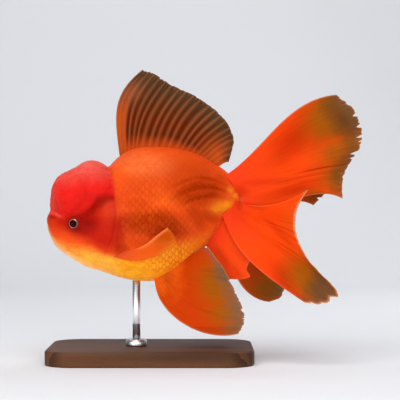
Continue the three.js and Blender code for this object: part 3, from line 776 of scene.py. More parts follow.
def fish_colours(n, props):
    """The shared markings, placed in a material with the fish's own colours."""
    own = colours_of(props, "Flank", "Head", "Hood", "Gold", "Dark_flank", "Dark_head", "Pink", "Cream")
    marks, hood_marks = n.attribute("marks"), n.attribute("hood_marks")
    return n.group(markings_group(), Marks=marks, Hood_marks=hood_marks, Mottle=props.mottle, **own)["Color"]


@once
def skin_material():
    """Moist skin in the fish's own colours."""
    props = bpy.context.scene.oranda_body
    material, n, shader = principled(
        "moist oranda skin",
        Subsurface_Weight=0.12, Subsurface_Radius=(1.0, 0.25, 0.1), Subsurface_Scale=0.003,
        Coat_Weight=0.012, Coat_Roughness=0.2, Specular_IOR_Level=0.015,
    )
    base = fish_colours(n, props)
    wet = n.group(wet_skin_group(), Gloss=0.36, Grain=1700.0)
    dress(n, shader, base, wet["Roughness"], wet["Height"], 0.25, 0.0002)
    return material


@once
def scale_material():
    """A scale is clearer at its middle, with painted shade where it slides under the next and along its
    sides, and a painted glint near the middle of its free end.
    """
    props = bpy.context.scene.oranda_body
    material, n, shader = principled(
        "oranda scale",
        Subsurface_Weight=0.08, Subsurface_Radius=(1.0, 0.3, 0.1), Subsurface_Scale=0.002,
        Coat_Weight=0.012, Coat_Roughness=0.16, Specular_IOR_Level=0.015,
    )
    base = fish_colours(n, props)
    wet = n.group(wet_skin_group(), Gloss=0.32, Grain=2600.0)
    length, across, chance = n.parts(n.attribute("plate"))
    show = n.parts(n.attribute("show"))[0]
    sideways = n.maths("ABSOLUTE", across)
    gold = n.parts(n.attribute("marks"))[1]
    middle = n.maths("MULTIPLY", n.remap(length, 0.44, 0.66), n.remap(length, 1.0, 0.84))
    middle = n.maths("MULTIPLY", middle, n.remap(sideways, 0.95, 0.3))
    # Painted shade off each scale's middle, strongest where the scales stand out.
    dull = n.blend(1.0, base, (0.88, 0.48, 0.15), "MULTIPLY")
    gap = n.maths("MULTIPLY", n.maths("SUBTRACT", 1.0, middle), n.maths("MULTIPLY", show, 0.85))
    colour = n.blend(gap, base, dull)
    # Painted glint on each scale's middle, gold on the belly and orange on the side.
    glint = n.blend(1.0, base, n.blend(gold, (0.34, 0.045, 0.003), (0.3, 0.15, 0.012)), "SCREEN")
    share = n.maths("MULTIPLY", middle, n.remap(chance, 0.0, 1.0, 0.2, 0.9))
    colour = n.blend(n.maths("MULTIPLY", share, show), colour, glint)
    rings = n.add("ShaderNodeTexWave", wave_type="RINGS", rings_direction="SPHERICAL")
    rings.inputs["Scale"].default_value = 3.2
    rings.inputs["Distortion"].default_value = 0.6
    n.feed(rings.inputs["Vector"], n.attribute("plate"))
    ridges = n.maths("MULTIPLY", rings.outputs[1], 0.35)
    height = n.maths("ADD", ridges, n.maths("MULTIPLY", wet["Height"], 0.5))
    dress(n, shader, colour, wet["Roughness"], height, 0.3, 0.0002)
    return material


@once
def fin_group():
    """Colours a fin from its root to its clear margin, with rays over the membrane."""
    tree, n, given, out = node_group(
        "fin membrane and rays",
        {"Fin": "", "Marks": "", "Root": (0.9, 0.08, 0.01), "Middle": (0.9, 0.1, 0.01),
         "Amber": (0.5, 0.15, 0.01), "Dark": (0.4, 0.03, 0.0), "Margin": (0.3, 0.2, 0.12),
         "Ray": (0.9, 0.2, 0.08), "Edge": (0.8, 0.3, 0.2), "Ray share": 0.4, "Root to": 0.42,
         "Margin from": 0.9, "Margin width": 0.14, "Clearness": 0.5, "Streaks": 0.3, "Wander": 1.0},
        {"Color": tuple, "Alpha": float, "Roughness": float, "Height": float},
    )
    out_to, ray, across = n.parts(given["Fin"])
    amber, dark, pale = n.parts(given["Marks"])
    lanes = n.add("ShaderNodeCombineXYZ")
    n.feed(lanes.inputs[0], n.maths("MULTIPLY", across, 60.0))
    n.feed(lanes.inputs[1], n.maths("MULTIPLY", out_to, 2.2))
    streak = n.noise(lanes.outputs[0], 1.6, 4.0, 0.62)
    blotch = n.noise(n.places(), 95.0, 3.0, 0.6)
    wander = n.maths("ADD", n.maths("MULTIPLY", n.maths("SUBTRACT", streak, 0.5), 0.28),
                     n.maths("MULTIPLY", n.maths("SUBTRACT", blotch, 0.5), 0.36))
    wander = n.maths("MULTIPLY", wander, given["Wander"])
    reach = n.maths("ADD", out_to, wander)
    colour = n.blend(n.remap(reach, 0.0, given["Root to"]), given["Root"], given["Middle"])
    loose = n.maths("MULTIPLY", wander, 0.7)
    # Darker patches of membrane, with painted shade in the creases and at the tail's root.
    colour = n.blend(n.remap(n.maths("ADD", dark, loose), 0.0, 0.95, way="LINEAR"), colour, given["Dark"])
    colour = n.blend(n.remap(n.maths("ADD", amber, loose), 0.08, 0.9, way="LINEAR"), colour, given["Amber"])
    margin_reach = n.maths("ADD", out_to, n.maths("MULTIPLY", wander, 0.45))
    margin_end = n.maths("ADD", given["Margin from"], given["Margin width"])
    at_margin = n.remap(margin_reach, given["Margin from"], margin_end, way="LINEAR")
    colour = n.blend(at_margin, colour, given["Margin"])
    fade = n.remap(out_to, 0.9, 1.0, 1.0, 0.6)
    ray_share = n.maths("MULTIPLY", n.maths("MULTIPLY", ray, given["Ray share"]), fade)
    tip = n.blend(1.0, n.blend(0.4, given["Margin"], given["Ray"]), (0.1, 0.075, 0.035), "SCREEN")
    colour = n.blend(ray_share, colour, n.blend(n.maths("MULTIPLY", at_margin, 0.8), given["Ray"], tip))
    dull = n.blend(1.0, colour, (0.6, 0.45, 0.38), "MULTIPLY")
    thin = n.maths("MULTIPLY", n.remap(streak, 0.5, 0.72), given["Streaks"])
    colour = n.blend(thin, colour, dull)
    n.feed(out["Color"], n.blend(pale, colour, given["Edge"]))
    see = n.maths("MULTIPLY", at_margin, given["Clearness"])
    see = n.maths("MULTIPLY", see, n.remap(n.maths("MAXIMUM", ray, pale), 0.3, 1.0, 1.0, 0.4))
    n.feed(out["Alpha"], n.maths("SUBTRACT", 1.0, see))
    n.feed(out["Roughness"], n.remap(streak, 0.3, 0.7, 0.36, 0.5))
    n.feed(out["Height"], n.maths("ADD", n.maths("MULTIPLY", ray, 0.4), n.maths("MULTIPLY", streak, 0.6)))
    return tree


FIN_LOOKS = {  # how each kind of fin differs from the tail
    "tail": {},
    # The far side's tail lobes take a darker copy of the tail's colours: painted shade.
    "far_tail": {"Root": (0.6, 0.04, 0.002), "Middle": (0.42, 0.05, 0.002), "Amber": (0.17, 0.05, 0.002),
                 "Dark": (0.3, 0.03, 0.001), "Ray_share": 0.1},
    "dorsal": {"Root": (0.52, 0.055, 0.002), "Middle": (0.085, 0.011, 0.0003), "Amber": (0.42, 0.056, 0.003),
               "Margin": (0.046, 0.023, 0.005), "Ray": (0.4, 0.1, 0.036), "Edge": (0.36, 0.15, 0.09),
               "Ray_share": 0.5, "Root_to": 0.25, "Margin_from": 0.45, "Margin_width": 0.5,
               "Clearness": 0.1, "Streaks": 0.1, "Wander": 0.4},
    "pectoral": {"Root": (0.6, 0.065, 0.015), "Middle": (0.62, 0.08, 0.006), "Amber": (0.42, 0.05, 0.001),
                 "Margin": (0.72, 0.19, 0.01), "Edge": (0.8, 0.18, 0.045), "Clearness": 0.3, "Streaks": 0.15,
                 "Margin_from": 0.7, "Margin_width": 0.32},
    "pelvic": {"Root": (0.74, 0.105, 0.004), "Middle": (0.45, 0.034, 0.0004), "Amber": (0.27, 0.068, 0.0015),
               "Dark": (0.2, 0.02, 0.002), "Margin": (0.15, 0.088, 0.045), "Edge": (0.5, 0.22, 0.12),
               "Root_to": 0.36, "Margin_from": 0.8, "Margin_width": 0.3},
    "anal": {"Middle": (0.74, 0.056, 0.006), "Dark": (0.56, 0.02, 0.0), "Margin": (0.6, 0.08, 0.01),
             "Margin_from": 0.95},
}


@once
def fin_material(look):
    """The membrane and rays of one kind of fin."""
    props = bpy.context.scene.oranda_fins
    material, n, shader = principled(
        look + " fin",
        Subsurface_Weight=0.1, Subsurface_Radius=(1.0, 0.35, 0.12), Subsurface_Scale=0.003,
        Coat_Weight=0.008, Coat_Roughness=0.25, Specular_IOR_Level=0.012,
    )
    values = {
        **colours_of(props, "Root", "Middle", "Amber", "Dark", "Margin", "Ray", "Edge"),
        "Ray_share": 0.1, "Margin_from": 0.86, "Margin_width": 0.24, "Clearness": props.clearness,
        "Streaks": 0.3, **FIN_LOOKS[look],
    }
    made = n.group(fin_group(), Fin=n.attribute("fin"), Marks=n.attribute("fin_marks"), **values)
    n.feed(shader.inputs["Alpha"], made["Alpha"])
    dress(n, shader, made["Color"], made["Roughness"], made["Height"], 0.2, 0.0003)
    return material


# ---------- body: skin and scales ----------

MAP_SHARE, MAP_MARGIN = 0.98, 0.01  # how a map is fitted inside its square


@once
def body_surface():
    """The flesh's net with its folds, the net's normals, and the hood's mask on it."""
    props = bpy.context.scene.oranda_body
    net = skin_net(props.rings, props.spokes)
    normals = net_normals(net).reshape(-1, 3)
    flat = net.reshape(-1, 3)
    net = (flat + normals * form_relief(flat)[:, None]).reshape(net.shape)
    return net, net_normals(net), hood_mask(flat)


def build_skin():
    """One closed skin over head, hood and trunk, lying a little deeper where scales cover it."""
    props = bpy.context.scene.oranda_body
    net, normals, hood = body_surface()
    rings, spokes = net.shape[0] - 1, net.shape[1]
    flat = net.reshape(-1, 3)
    relief = fine_relief(flat, hood, props.nodules / MM) - props.coat_depth / MM * scaled_mask(flat)
    points = flat + normals.reshape(-1, 3) * relief[:, None]
    marks, hood_marks = markings(flat, hood)
    keep = slice(spokes - 1, rings * spokes + 1)  # one point stands for each closed end
    grid = np.arange((rings + 1) * spokes).reshape(rings + 1, spokes) - (spokes - 1)
    grid[0], grid[-1] = 0, rings * spokes - (spokes - 1)
    ring = np.arange(1, rings - 1)[:, None]
    spoke = np.arange(spokes)[None, :]
    after = (spoke + 1) % spokes
    quads = np.stack([grid[ring, spoke], grid[ring + 1, spoke], grid[ring + 1, after], grid[ring, after]], -1)
    following = np.roll(grid, -1, axis=1)
    ends = np.concatenate([
        np.stack([grid[0], grid[1], following[1]], 1),
        np.stack([grid[-1], following[-2], grid[-2]], 1),
    ])
    mesh = make_mesh("skin", points[keep], quads.reshape(-1, 4), ends)
    set_vectors(mesh, "marks", marks[keep])
    set_vectors(mesh, "hood_marks", hood_marks[keep])
    place = np.stack(np.meshgrid(np.arange(rings + 1) / rings, np.arange(spokes) / spokes, indexing="ij"), -1)
    place = place.reshape(-1, 2)[keep][corner_points(mesh)]
    whole = place[: quads.size].reshape(-1, 4, 2)
    whole[..., 1] += (whole[..., 1] < 0.25) & (whole[..., 1].max(1, keepdims=True) > 0.75)  # across the seam
    set_map(mesh, "OFBake", place * MAP_SHARE + MAP_MARGIN)
    add_piece("skin", mesh, skin_material(),
              ("head", "hood", "lower_jaw", "gill_cover_left", "gill_cover_right", "trunk", "tail_stalk"))


GRID_STEP = 0.5  # spacing of the even grid that scales are laid on
GRID_FROM = -36  # x at which the grid starts, ahead of the gill openings
GRID_SHORT = 1.2  # how far it stops short of the stump
GRID_REACH = 62  # how far it goes up and down from the side's middle line, along the skin
BELLY_BAND, BACK_BAND = 1.2, 1.6  # half-widths of the bare bands under the belly and along the back
FLANK_LONGEST, ROWS_EACH_WAY = 200, 40  # how far scales are set out, in millimetres and in rows
STRAY_ALONG, STRAY_UP = 0.05, 0.04  # how far a scale strays from its place, in pitches and in rows
PLATE = (6, 6)  # cells along and across one scale
PLATE_LENGTH, PLATE_WIDTH = 1.74, 2.6  # of a scale, in pitches and in rows
MAP_PATCH = 0.003  # size of one scale's own patch in its map
SCALE_SHARP = 50  # degrees between a scale's faces that leave an edge sharp


def flank_grid(side):
    """An even grid over one flank, by distance along the side and up from its middle line.

    Each place holds its point, its normal, its place in the net and 1 where a scale may lie.
    Returns the grid and its lowest distance up."""
    net, normals, _ = body_surface()
    rings, spokes = net.shape[0] - 1, net.shape[1]
    quarter, half = spokes // 4, spokes // 2
    order = np.arange(half + 1) if side > 0 else (-np.arange(half + 1)) % spokes
    line = net[:, order[quarter]]
    first = int(np.argmax(line[:, 0] > GRID_FROM))
    last = int(np.argmax(line[:, 0] > STUMP_X - GRID_SHORT))
    chosen = np.arange(first, last + 1)
    far = np.concatenate([[0], np.cumsum(np.linalg.norm(np.diff(line[chosen], axis=0), axis=1))])
    ups = np.arange(-GRID_REACH, GRID_REACH + GRID_STEP, GRID_STEP)
    rows = []
    for ring in chosen:
        cut = net[ring, order]
        arc = np.concatenate([[0], np.cumsum(np.linalg.norm(np.diff(cut, axis=0), axis=1))])
        up = arc[quarter] - arc
        values = np.concatenate([cut, normals[ring, order], np.full((half + 1, 1), ring / rings),
                                 (order / spokes)[:, None]], 1)
        if side < 0:
            values[0, 7] = 1.0  # from this side the net's seam on the back is its end
        row = np.stack([np.interp(ups, up[::-1], values[::-1, k]) for k in range(8)], 1)
        clear = (ups > up[-1] + BELLY_BAND) & (ups < up[0] - BACK_BAND)
        rows.append(np.concatenate([row, clear[:, None]], 1))
    rows = np.array(rows)
    lengths = np.arange(0, far[-1], GRID_STEP)
    place = np.interp(lengths, far, np.arange(len(far)))
    low = np.clip(np.floor(place).astype(int), 0, len(far) - 2)
    share = (place - low)[:, None, None]
    even = rows[low] * (1 - share) + rows[low + 1] * share
    return even, ups[0]


def read_grid(even, start, length, up):
    """Values of the even grid between its points."""
    a = np.clip(length / GRID_STEP, 0, even.shape[0] - 1.001)
    b = np.clip((up - start) / GRID_STEP, 0, even.shape[1] - 1.001)
    i, j = a.astype(int), b.astype(int)
    fa, fb = (a - i)[..., None], (b - j)[..., None]
    return (
        even[i, j] * (1 - fa) * (1 - fb) + even[i + 1, j] * fa * (1 - fb)
        + even[i, j + 1] * (1 - fa) * fb + even[i + 1, j + 1] * fa * fb
    )


def scale_places(even, start, pitch, row, dice):
    """Where the scales of a flank lie, in staggered rows: along, up, and the grid's values there."""
    steps, rows = np.arange(0, FLANK_LONGEST / pitch), np.arange(-ROWS_EACH_WAY, ROWS_EACH_WAY + 1)
    columns, rows = np.meshgrid(steps, rows, indexing="ij")
    length = (columns * pitch + (rows % 2) * pitch / 2).ravel()
    up = (rows * row).ravel()
    length += dice.uniform(-STRAY_ALONG, STRAY_ALONG, len(length)) * pitch
    up += dice.uniform(-STRAY_UP, STRAY_UP, len(up)) * row
    inside = (length < (even.shape[0] - 2) * GRID_STEP) & (up > start + 1) & (up < -start - 1)
    length, up = length[inside], up[inside]
    at = read_grid(even, start, length, up)
    behind = at[:, 0] - nape(at[:, 2])
    kept = (at[:, 8] > 0.99) & (behind > -0.6 + 1.2 * smooth(at[:, 2], 86, 90)) & (at[:, 0] < STUMP_X - 2.5)
    return length[kept], up[kept], at[kept]


def build_scales(name, side):
    """Lays thin, curved plates over one flank, each tucked under the one ahead of it."""
    props = bpy.context.scene.oranda_scales
    even, start = flank_grid(side)
    pitch, row = props.pitch / MM, props.row_pitch / MM
    dice = np.random.default_rng(11 if side > 0 else 12)
    length, up, at = scale_places(even, start, pitch, row, dice)
    count = len(length)
    smaller = 0.78 + 0.22 * smooth(STUMP_X - at[:, 0], 2, 26)  # towards the tail
    turn = np.radians(dice.normal(0, 3, count))
    a, b = np.meshgrid(np.linspace(0, 1, PLATE[0] + 1), np.linspace(-1, 1, PLATE[1] + 1), indexing="ij")
    a, b = a.ravel(), b.ravel()
    plate_length, plate_width = PLATE_LENGTH * pitch, PLATE_WIDTH * row
    show = scale_show(at[:, :3])[:, None]
    local_x = plate_length * (-0.62 + a * (0.66 + 0.34 * np.sqrt(np.clip(1 - b * b, 0, 1)) ** 1.1))
    local_y = 0.5 * plate_width * b * (0.82 + 0.18 * np.sin(math.pi * np.clip(a, 0, 0.62) / 1.24))
    x = (local_x[None] * np.cos(turn)[:, None] - local_y[None] * np.sin(turn)[:, None]) * smaller[:, None]
    y = (local_x[None] * np.sin(turn)[:, None] + local_y[None] * np.cos(turn)[:, None]) * smaller[:, None]
    spots = read_grid(even, start, length[:, None] + x, up[:, None] + y)
    base, normal = spots[..., :3], spots[..., 3:6]
    normal = normal / np.linalg.norm(normal, axis=2, keepdims=True)
    depth, lift, thick = props.depth / MM * (0.36 + 0.64 * show), props.lift / MM, props.thickness / MM
    tone = dice.uniform(0, 1, count)
    clear_of_gill = smooth(at[:, 0] - nape(at[:, 2]), -1, 3)[:, None]
    lifted = lift * (2.2 * show * (0.8 + 0.4 * tone[:, None]) - 1)
    height = -depth + (depth + lifted) * (a[None] ** 1.4) - 0.10 * show * (b[None] ** 4)
    height = height - 0.25 * (1 - clear_of_gill)  # the first scales start under the gill cover's edge
    upper = base + normal * height[..., None]
    lower = base + normal * (height - thick)[..., None]
    points = np.concatenate([upper, lower], 1)
    each = points.shape[1]
    faces = sheet_faces(*PLATE)
    if side > 0:
        faces = faces[:, ::-1]
    faces = (faces[None] + np.arange(count)[:, None, None] * each).reshape(-1, 4)
    mesh = make_mesh(name, points.reshape(-1, 3), faces)
    mesh.set_sharp_from_angle(angle=math.radians(SCALE_SHARP))
    own = np.repeat(0.1 + 0.4 * show[:, :, None], each, 1)  # how far a scale keeps the colour of its root
    flat = (at[:, None, :3] * own + points * (1 - own)).reshape(-1, 3)
    marks, hood_marks = markings(flat, np.zeros(len(flat)))
    marks[:, 0] *= 0.92
    set_vectors(mesh, "marks", marks)
    set_vectors(mesh, "hood_marks", hood_marks)
    plate = np.stack([np.tile(a, 2), np.tile(b, 2), np.zeros(2 * len(a))], 1)
    plate = np.repeat(plate[None], count, 0)
    plate[..., 2] = tone[:, None]
    set_vectors(mesh, "plate", plate.reshape(-1, 3))
    seen = np.zeros((count, each, 3))
    seen[..., 0] = show
    set_vectors(mesh, "show", seen.reshape(-1, 3))
    place = at[:, None, 6:8] + (plate[..., :2] * (1, 0.5) - (0.5, 0)) * MAP_PATCH
    set_map(mesh, "OFBake", place.reshape(-1, 2)[corner_points(mesh)] * MAP_SHARE + MAP_MARGIN)
    add_piece(name, mesh, scale_material())


# ---------- fins ----------

RAY_KEENNESS = 1.6  # how narrow the rays are between their membranes
EDGE_RAY = 0.012  # width of the rays along a fin's front and rear edges, as a share of its root
FIN_USUAL = {  # what a fin has where it says nothing else
    "bulge": 1,  # how late it leans outwards on its way to the margin
    "ripple": 0, "waves": 3, "phase": 0,  # height, number and start of the waves along its margin
    "relief": 1.0,  # strength of its pleats
    "sway": 1, "uneven": 0.8,  # how unevenly its rays are spaced, and how much they differ
    "branch": 0.38,  # share of the way out at which rays fork
    "flare": (0.9, 0.035),  # extra half-thickness at its root, and how fast that ends
    "pale": (0.5, 0.3, 0.3), "pale_to": (0.75, 0.75, 0.75),  # pale line at front, rear and margin
    # patches seen from the side, each (x, height, two half-sizes, tilt, strength)
    "amber": (), "dark": (), "light": (), "tip": (),
    "bands": (),  # further amber between two shares along the root, each (from, to, strength)
    "notches": (),  # cuts in the margin, each (share along the root, half-width, depth)
    "folds": (),  # lengthwise creases, each (share along the root, half-width, start, depth)
}


def mirrored(fin, reach=1.0):
    """The same fin on the fish's other side, with its rays `reach` times as long."""
    start = np.array(fin["root"][0], float)
    flip = np.array((1, -1, 1))
    rays = [{**r, "tip": tuple(((np.array(r["tip"]) - start) * reach + start) * flip)} for r in fin["rays"]]
    return {**fin, "root": [tuple(np.array(p) * flip) for p in fin["root"]], "rays": rays}


def ray(at, tip, leave, arrive, pull=PULL):
    """A fin ray: share along the root, end, and its directions at both ends, seen from the side."""
    return {"at": at, "tip": tip, "leave": leave, "arrive": arrive, "pull": pull}


DORSAL = {
    "root": [(-16.9, 0, 109.3), (-8, 0, 114.3), (10, 0, 114.6), (24, 0, 111.2), (35, 0, 105.2)],
    "rays": [
        ray(0, (-4.8, -1, 159.5), 97, 38, 1.36),
        ray(0.14, (1.4, -0.6, 157.6), 92, 46, 1.25),
        ray(0.3, (11.6, 0.4, 151.4), 86, 50),
        ray(0.5, (28.2, 0, 143), 72, 40),
        ray(0.68, (40.4, -1, 132.4), 58, 34),
        ray(0.85, (45.6, 0.3, 121), 44, 18),
        ray(1, (42.8, 0.6, 109), 20, 0),
    ],
    "ripple": 0.9, "waves": 4, "cells": (300, 72), "count": 20, "look": "dorsal", "branch": 0.8,
    "ragged": 0.014, "uneven": 0.15, "sway": 0.45, "pale": (0.75, 0.0, 0.25),
    "bands": [(0.13, 0.07, 0.9), (0.6, 0.97, 1.0)],
    "amber": [(-11, 150, 6, 7, 50, 0.8), (38, 119, 7, 13, -35, 0.4)],
    "light": [(-11.5, 147, 5, 8, -35, 0.18)],
    "notches": [(0.24, 0.012, 0.012), (0.47, 0.014, 0.014), (0.63, 0.012, 0.016), (0.9, 0.03, 0.02)],
}
PECTORAL = {
    "root": [(-12.8, -22, 61), (-16.2, -20.4, 59), (-18.8, -19, 57.4)],
    "rays": [
        ray(0, (10, -31, 73.5), 9, 32, 1.5),
        ray(0.3, (13, -32, 70), 4, 32, 1.3),
        ray(0.65, (14.2, -32, 65.2), -6, 28),
        ray(1, (8.6, -30.5, 60.2), -18, 24),
    ],
    "bulge": 0.9, "ripple": 0.5, "waves": 2, "cells": (120, 60), "count": 11, "look": "pectoral",
    "ragged": 0.02, "relief": 0.5, "pale": (0.7, 0.0, 0.1), "pale_to": (2.4, 0.75, 0.75),
    "amber": [(9, 68.5, 7, 5, 15, 1.1)],
    "tip": [(11.5, 70, 6, 4.5, 0, -0.3)],
}
PELVIC = {
    "root": [(2.4, -8, 46.4), (7, -9.6, 48.8), (13.6, -10.4, 53.6)],
    "rays": [
        ray(0, (47.3, -24, 16.6), -93, 16),
        ray(0.2, (50.6, -24, 21.6), -68, 2),
        ray(0.42, (50.2, -22.5, 29.2), -50, -10),
        ray(0.64, (44.8, -19.5, 41.4), -35, -18),
        ray(0.84, (39.6, -15, 51.6), -16, -12),
        ray(1, (31.6, -10.6, 62.2), 30, 14),
    ],
    "bulge": 0.8, "ripple": 0.8, "waves": 2, "cells": (170, 70), "count": 12, "look": "pelvic",
    "ragged": 0.02, "relief": 0.5, "pale": (0.6, 0.1, 0.5), "pale_to": (0.85, 0.75, 0.9),
    "amber": [(37, 42, 11, 15, 25, 1.1), (41, 28, 11, 10, 0, 0.95), (45, 20, 6, 5.5, 0, 1.0)],
    "tip": [(47, 31, 6, 11, 20, 0.12), (38, 49, 7, 6, 0, 0.14)],
    "dark": [(37, 46, 6, 3, 0, 0.5), (9.5, 47, 3.5, 5, 0, 0.35)],
    "notches": [(0.9, 0.015, 0.02), (0.7, 0.012, 0.03), (0.58, 0.014, 0.025), (0.4, 0.012, 0.02),
                (0.3, 0.012, 0.025)],
    "folds": [(0.79, 0.014, 0.45, 0.8), (0.72, 0.012, 0.5, 0.9), (0.65, 0.012, 0.55, 0.7),
              (0.3, 0.02, 0.3, 0.25)],
}
ANAL = {
    "root": [(30, -1.9, 64.2), (34.5, -2, 71.4), (39.8, -2.2, 78)],
    "rays": [
        ray(0, (43.1, -8, 44.9), -72, -40),
        ray(0.3, (49.4, -9.5, 44.8), -60, -34),
        ray(0.56, (54.2, -10.2, 46.3), -52, -34),
        ray(0.76, (52.4, -9.6, 50.6), -46, -46),
        ray(1, (55, -9.4, 56), -36, -66),
    ],
    "cells": (110, 50), "count": 8, "look": "anal", "ragged": 0.015, "relief": 0.4,
    "dark": [(40, 56, 9, 2.2, -58, 0.6), (47, 49, 6, 1.6, -50, 0.5)],
}
TAIL_UPPER = {
    "root": [(40.5, -1.6, 101), (44.8, -2.6, 96.4), (46.6, -2.8, 89.6)],
    "rays": [
        ray(0, (101, -11, 145.2), 34, 4, 1.1),
        ray(0.2, (109.8, -13.5, 137.4), 30, 20),
        ray(0.4, (114.4, -16, 126), 25, 18),
        ray(0.6, (113.2, -17, 116.6), 18, 12),
        ray(0.78, (107.2, -15.5, 106.6), 12, 2),
        ray(0.9, (104.2, -13, 98), -14, -14),
        ray(1, (104.2, -10.5, 88.8), -58, -30),
    ],
    "bulge": 1.3, "ripple": 1.2, "waves": 2.6, "phase": 0.1, "cells": (260, 90), "count": 15, "look": "tail",
    "ragged": 0.01, "relief": 0.35, "flare": (2.4, 0.075), "pale": (0.7, 0.3, 0.4),
    "amber": [(99, 134, 18, 15, 48, 1.2), (103, 100, 12, 13, 0, 0.95), (111, 118, 14, 15, 0, 1.0),
              (103, 114, 16, 12, 20, 0.85), (92, 90.5, 9, 4, -8, 0.8)],
    "tip": [(110, 133, 8, 13, -20, 0.15), (98, 135, 13, 10, 48, 0.12), (108, 109, 6, 9, 0, 0.08)],
    # The light patch is a painted highlight on the lump at the tail's root.
    "pale_to": (0.9, 0.75, 0.9), "light": [(49.6, 87.8, 1.3, 1.6, 0, 0.22)],
    "notches": [(0.13, 0.012, 0.015), (0.26, 0.018, 0.03), (0.36, 0.02, 0.032), (0.47, 0.02, 0.045),
                (0.53, 0.012, 0.03), (0.66, 0.022, 0.05), (0.71, 0.012, 0.03)],
    # The two dark patches at x 48 to 49 are painted shade at the tail's root, between the lobes.
    "dark": [(80, 123, 21, 9, 46, 0.9), (90, 124, 14, 8, 48, 0.5), (78, 93.5, 17, 3.2, 14, 0.75),
             (66, 98, 20, 2.4, 4, 0.45), (49, 93, 5, 3.5, -20, 0.6), (90, 90.5, 8, 3.5, -8, 0.7),
             (48.4, 90.5, 2.4, 4, 0, 0.8)],
    "folds": [(0.775, 0.010, 0.45, 0.9), (0.9, 0.02, 0.25, 0.5), (0.6, 0.016, 0.6, 0.45),
              (0.84, 0.014, 0.3, 0.4)],
}
TAIL_UPPER_FAR = {
    **mirrored(TAIL_UPPER),
    "rays": [
        ray(0, (99.6, 11, 142.6), 34, 4),
        ray(0.25, (108.4, 14, 134.6), 28, 16),
        ray(0.5, (111.4, 17, 121), 20, 12),
        ray(0.72, (105.4, 17.5, 103.6), 10, 0),
        ray(0.88, (98, 16.5, 92.4), -12, -16),
        ray(1, (90.4, 14.5, 85), -52, -30),
    ],
    "phase": 0.35, "look": "far_tail", "light": (),
    "notches": [(0.8, 0.012, 0.03), (0.88, 0.015, 0.06), (0.94, 0.012, 0.04)],
}
TAIL_LOWER = {
    "root": [(46.8, -4, 87.4), (45, -4.4, 83.6), (39.4, -4, 79.4)],
    "rays": [
        ray(0, (84.6, -21, 93.4), -24, 34),
        ray(0.16, (79.4, -22, 84), -28, 6),
        ray(0.32, (77.6, -25, 73.6), -32, -18),
        ray(0.47, (80, -28, 64.6), -36, -34),
        ray(0.6, (86.2, -31.5, 53.8), -40, -40),
        ray(0.74, (99.8, -34, 38.8), -45, -36),
        ray(0.88, (91.2, -34, 33.1), -53, -38),
        ray(1, (82.2, -32.5, 33.8), -74, -34),
    ],
    "bulge": 1.15, "ripple": 1.0, "waves": 2.4, "cells": (260, 90), "count": 15, "look": "tail",
    "ragged": 0.008, "relief": 0.35, "flare": (2.4, 0.075),
    "pale": (0.5, 0.2, 0.95), "pale_to": (1.0, 0.9, 1.5),
    "amber": [(88, 44, 19, 11, -45, 1.2), (77, 77, 7, 11, 0, 0.35)],
    "tip": [(98, 38, 9, 7, -45, 0.2), (90, 42, 14, 9, -45, 0.17), (80, 76, 9, 17, 0, -0.14)],
    "notches": [(0.66, 0.012, 0.02), (0.7, 0.01, 0.014), (0.8, 0.03, 0.035), (0.87, 0.012, 0.014),
                (0.94, 0.02, 0.02)],
    # The last two dark patches are painted shade at the tail's root, between the lobes.
    "dark": [(66, 75, 12, 2.2, -38, 0.55), (72, 68, 12, 1.8, -42, 0.5), (57, 84, 10, 2.4, -12, 0.6),
             (80, 52, 14, 2.5, -50, 0.35), (74, 45, 14, 8, -50, 1.0), (64, 79.5, 14, 6, -8, 0.4),
             (50, 81, 8, 8, 0, 0.4), (48.8, 84.5, 2.4, 4, 0, 0.8)],
    "folds": [(0.38, 0.012, 0.35, 0.55), (0.3, 0.010, 0.5, 0.4), (0.62, 0.014, 0.4, 0.4),
              (0.46, 0.01, 0.45, 0.4)],
}
TAIL_LOWER_FAR = {
    **mirrored(TAIL_LOWER),
    "rays": [
        ray(0, (79.5, 17, 79), -22, 10),
        ray(0.3, (79.4, 20, 62), -34, -20),
        ray(0.55, (77, 24, 48), -50, -34),
        ray(0.75, (75.4, 28, 38.6), -64, -26),
        ray(0.88, (72.8, 30, 32.2), -74, -14),
        ray(1, (66.4, 30, 29.9), -84, -8),
    ],
    "phase": 0.2, "look": "far_tail", "pale": (0.6, 0.5, 0.5), "pale_to": (0.75, 1.1, 1.1), "notches": (),
    "amber": [(67, 38, 12, 9, 20, 1.1)], "dark": [(62, 48, 10, 8, -40, 1.0)],
    "tip": [(75, 38, 6, 8, 0, 0.16)],
}
FINS = {
    "dorsal_fin": DORSAL,
    "pectoral_fin_left": PECTORAL,
    "pectoral_fin_right": mirrored(PECTORAL),
    "pelvic_fin_left": PELVIC,
    "pelvic_fin_right": mirrored(PELVIC, 0.95),
    "anal_fin_left": ANAL,
    "anal_fin_right": mirrored(ANAL, 0.95),
    "tail_upper_left": TAIL_UPPER,
    "tail_upper_right": TAIL_UPPER_FAR,
    "tail_lower_left": TAIL_LOWER,
    "tail_lower_right": TAIL_LOWER_FAR,
}


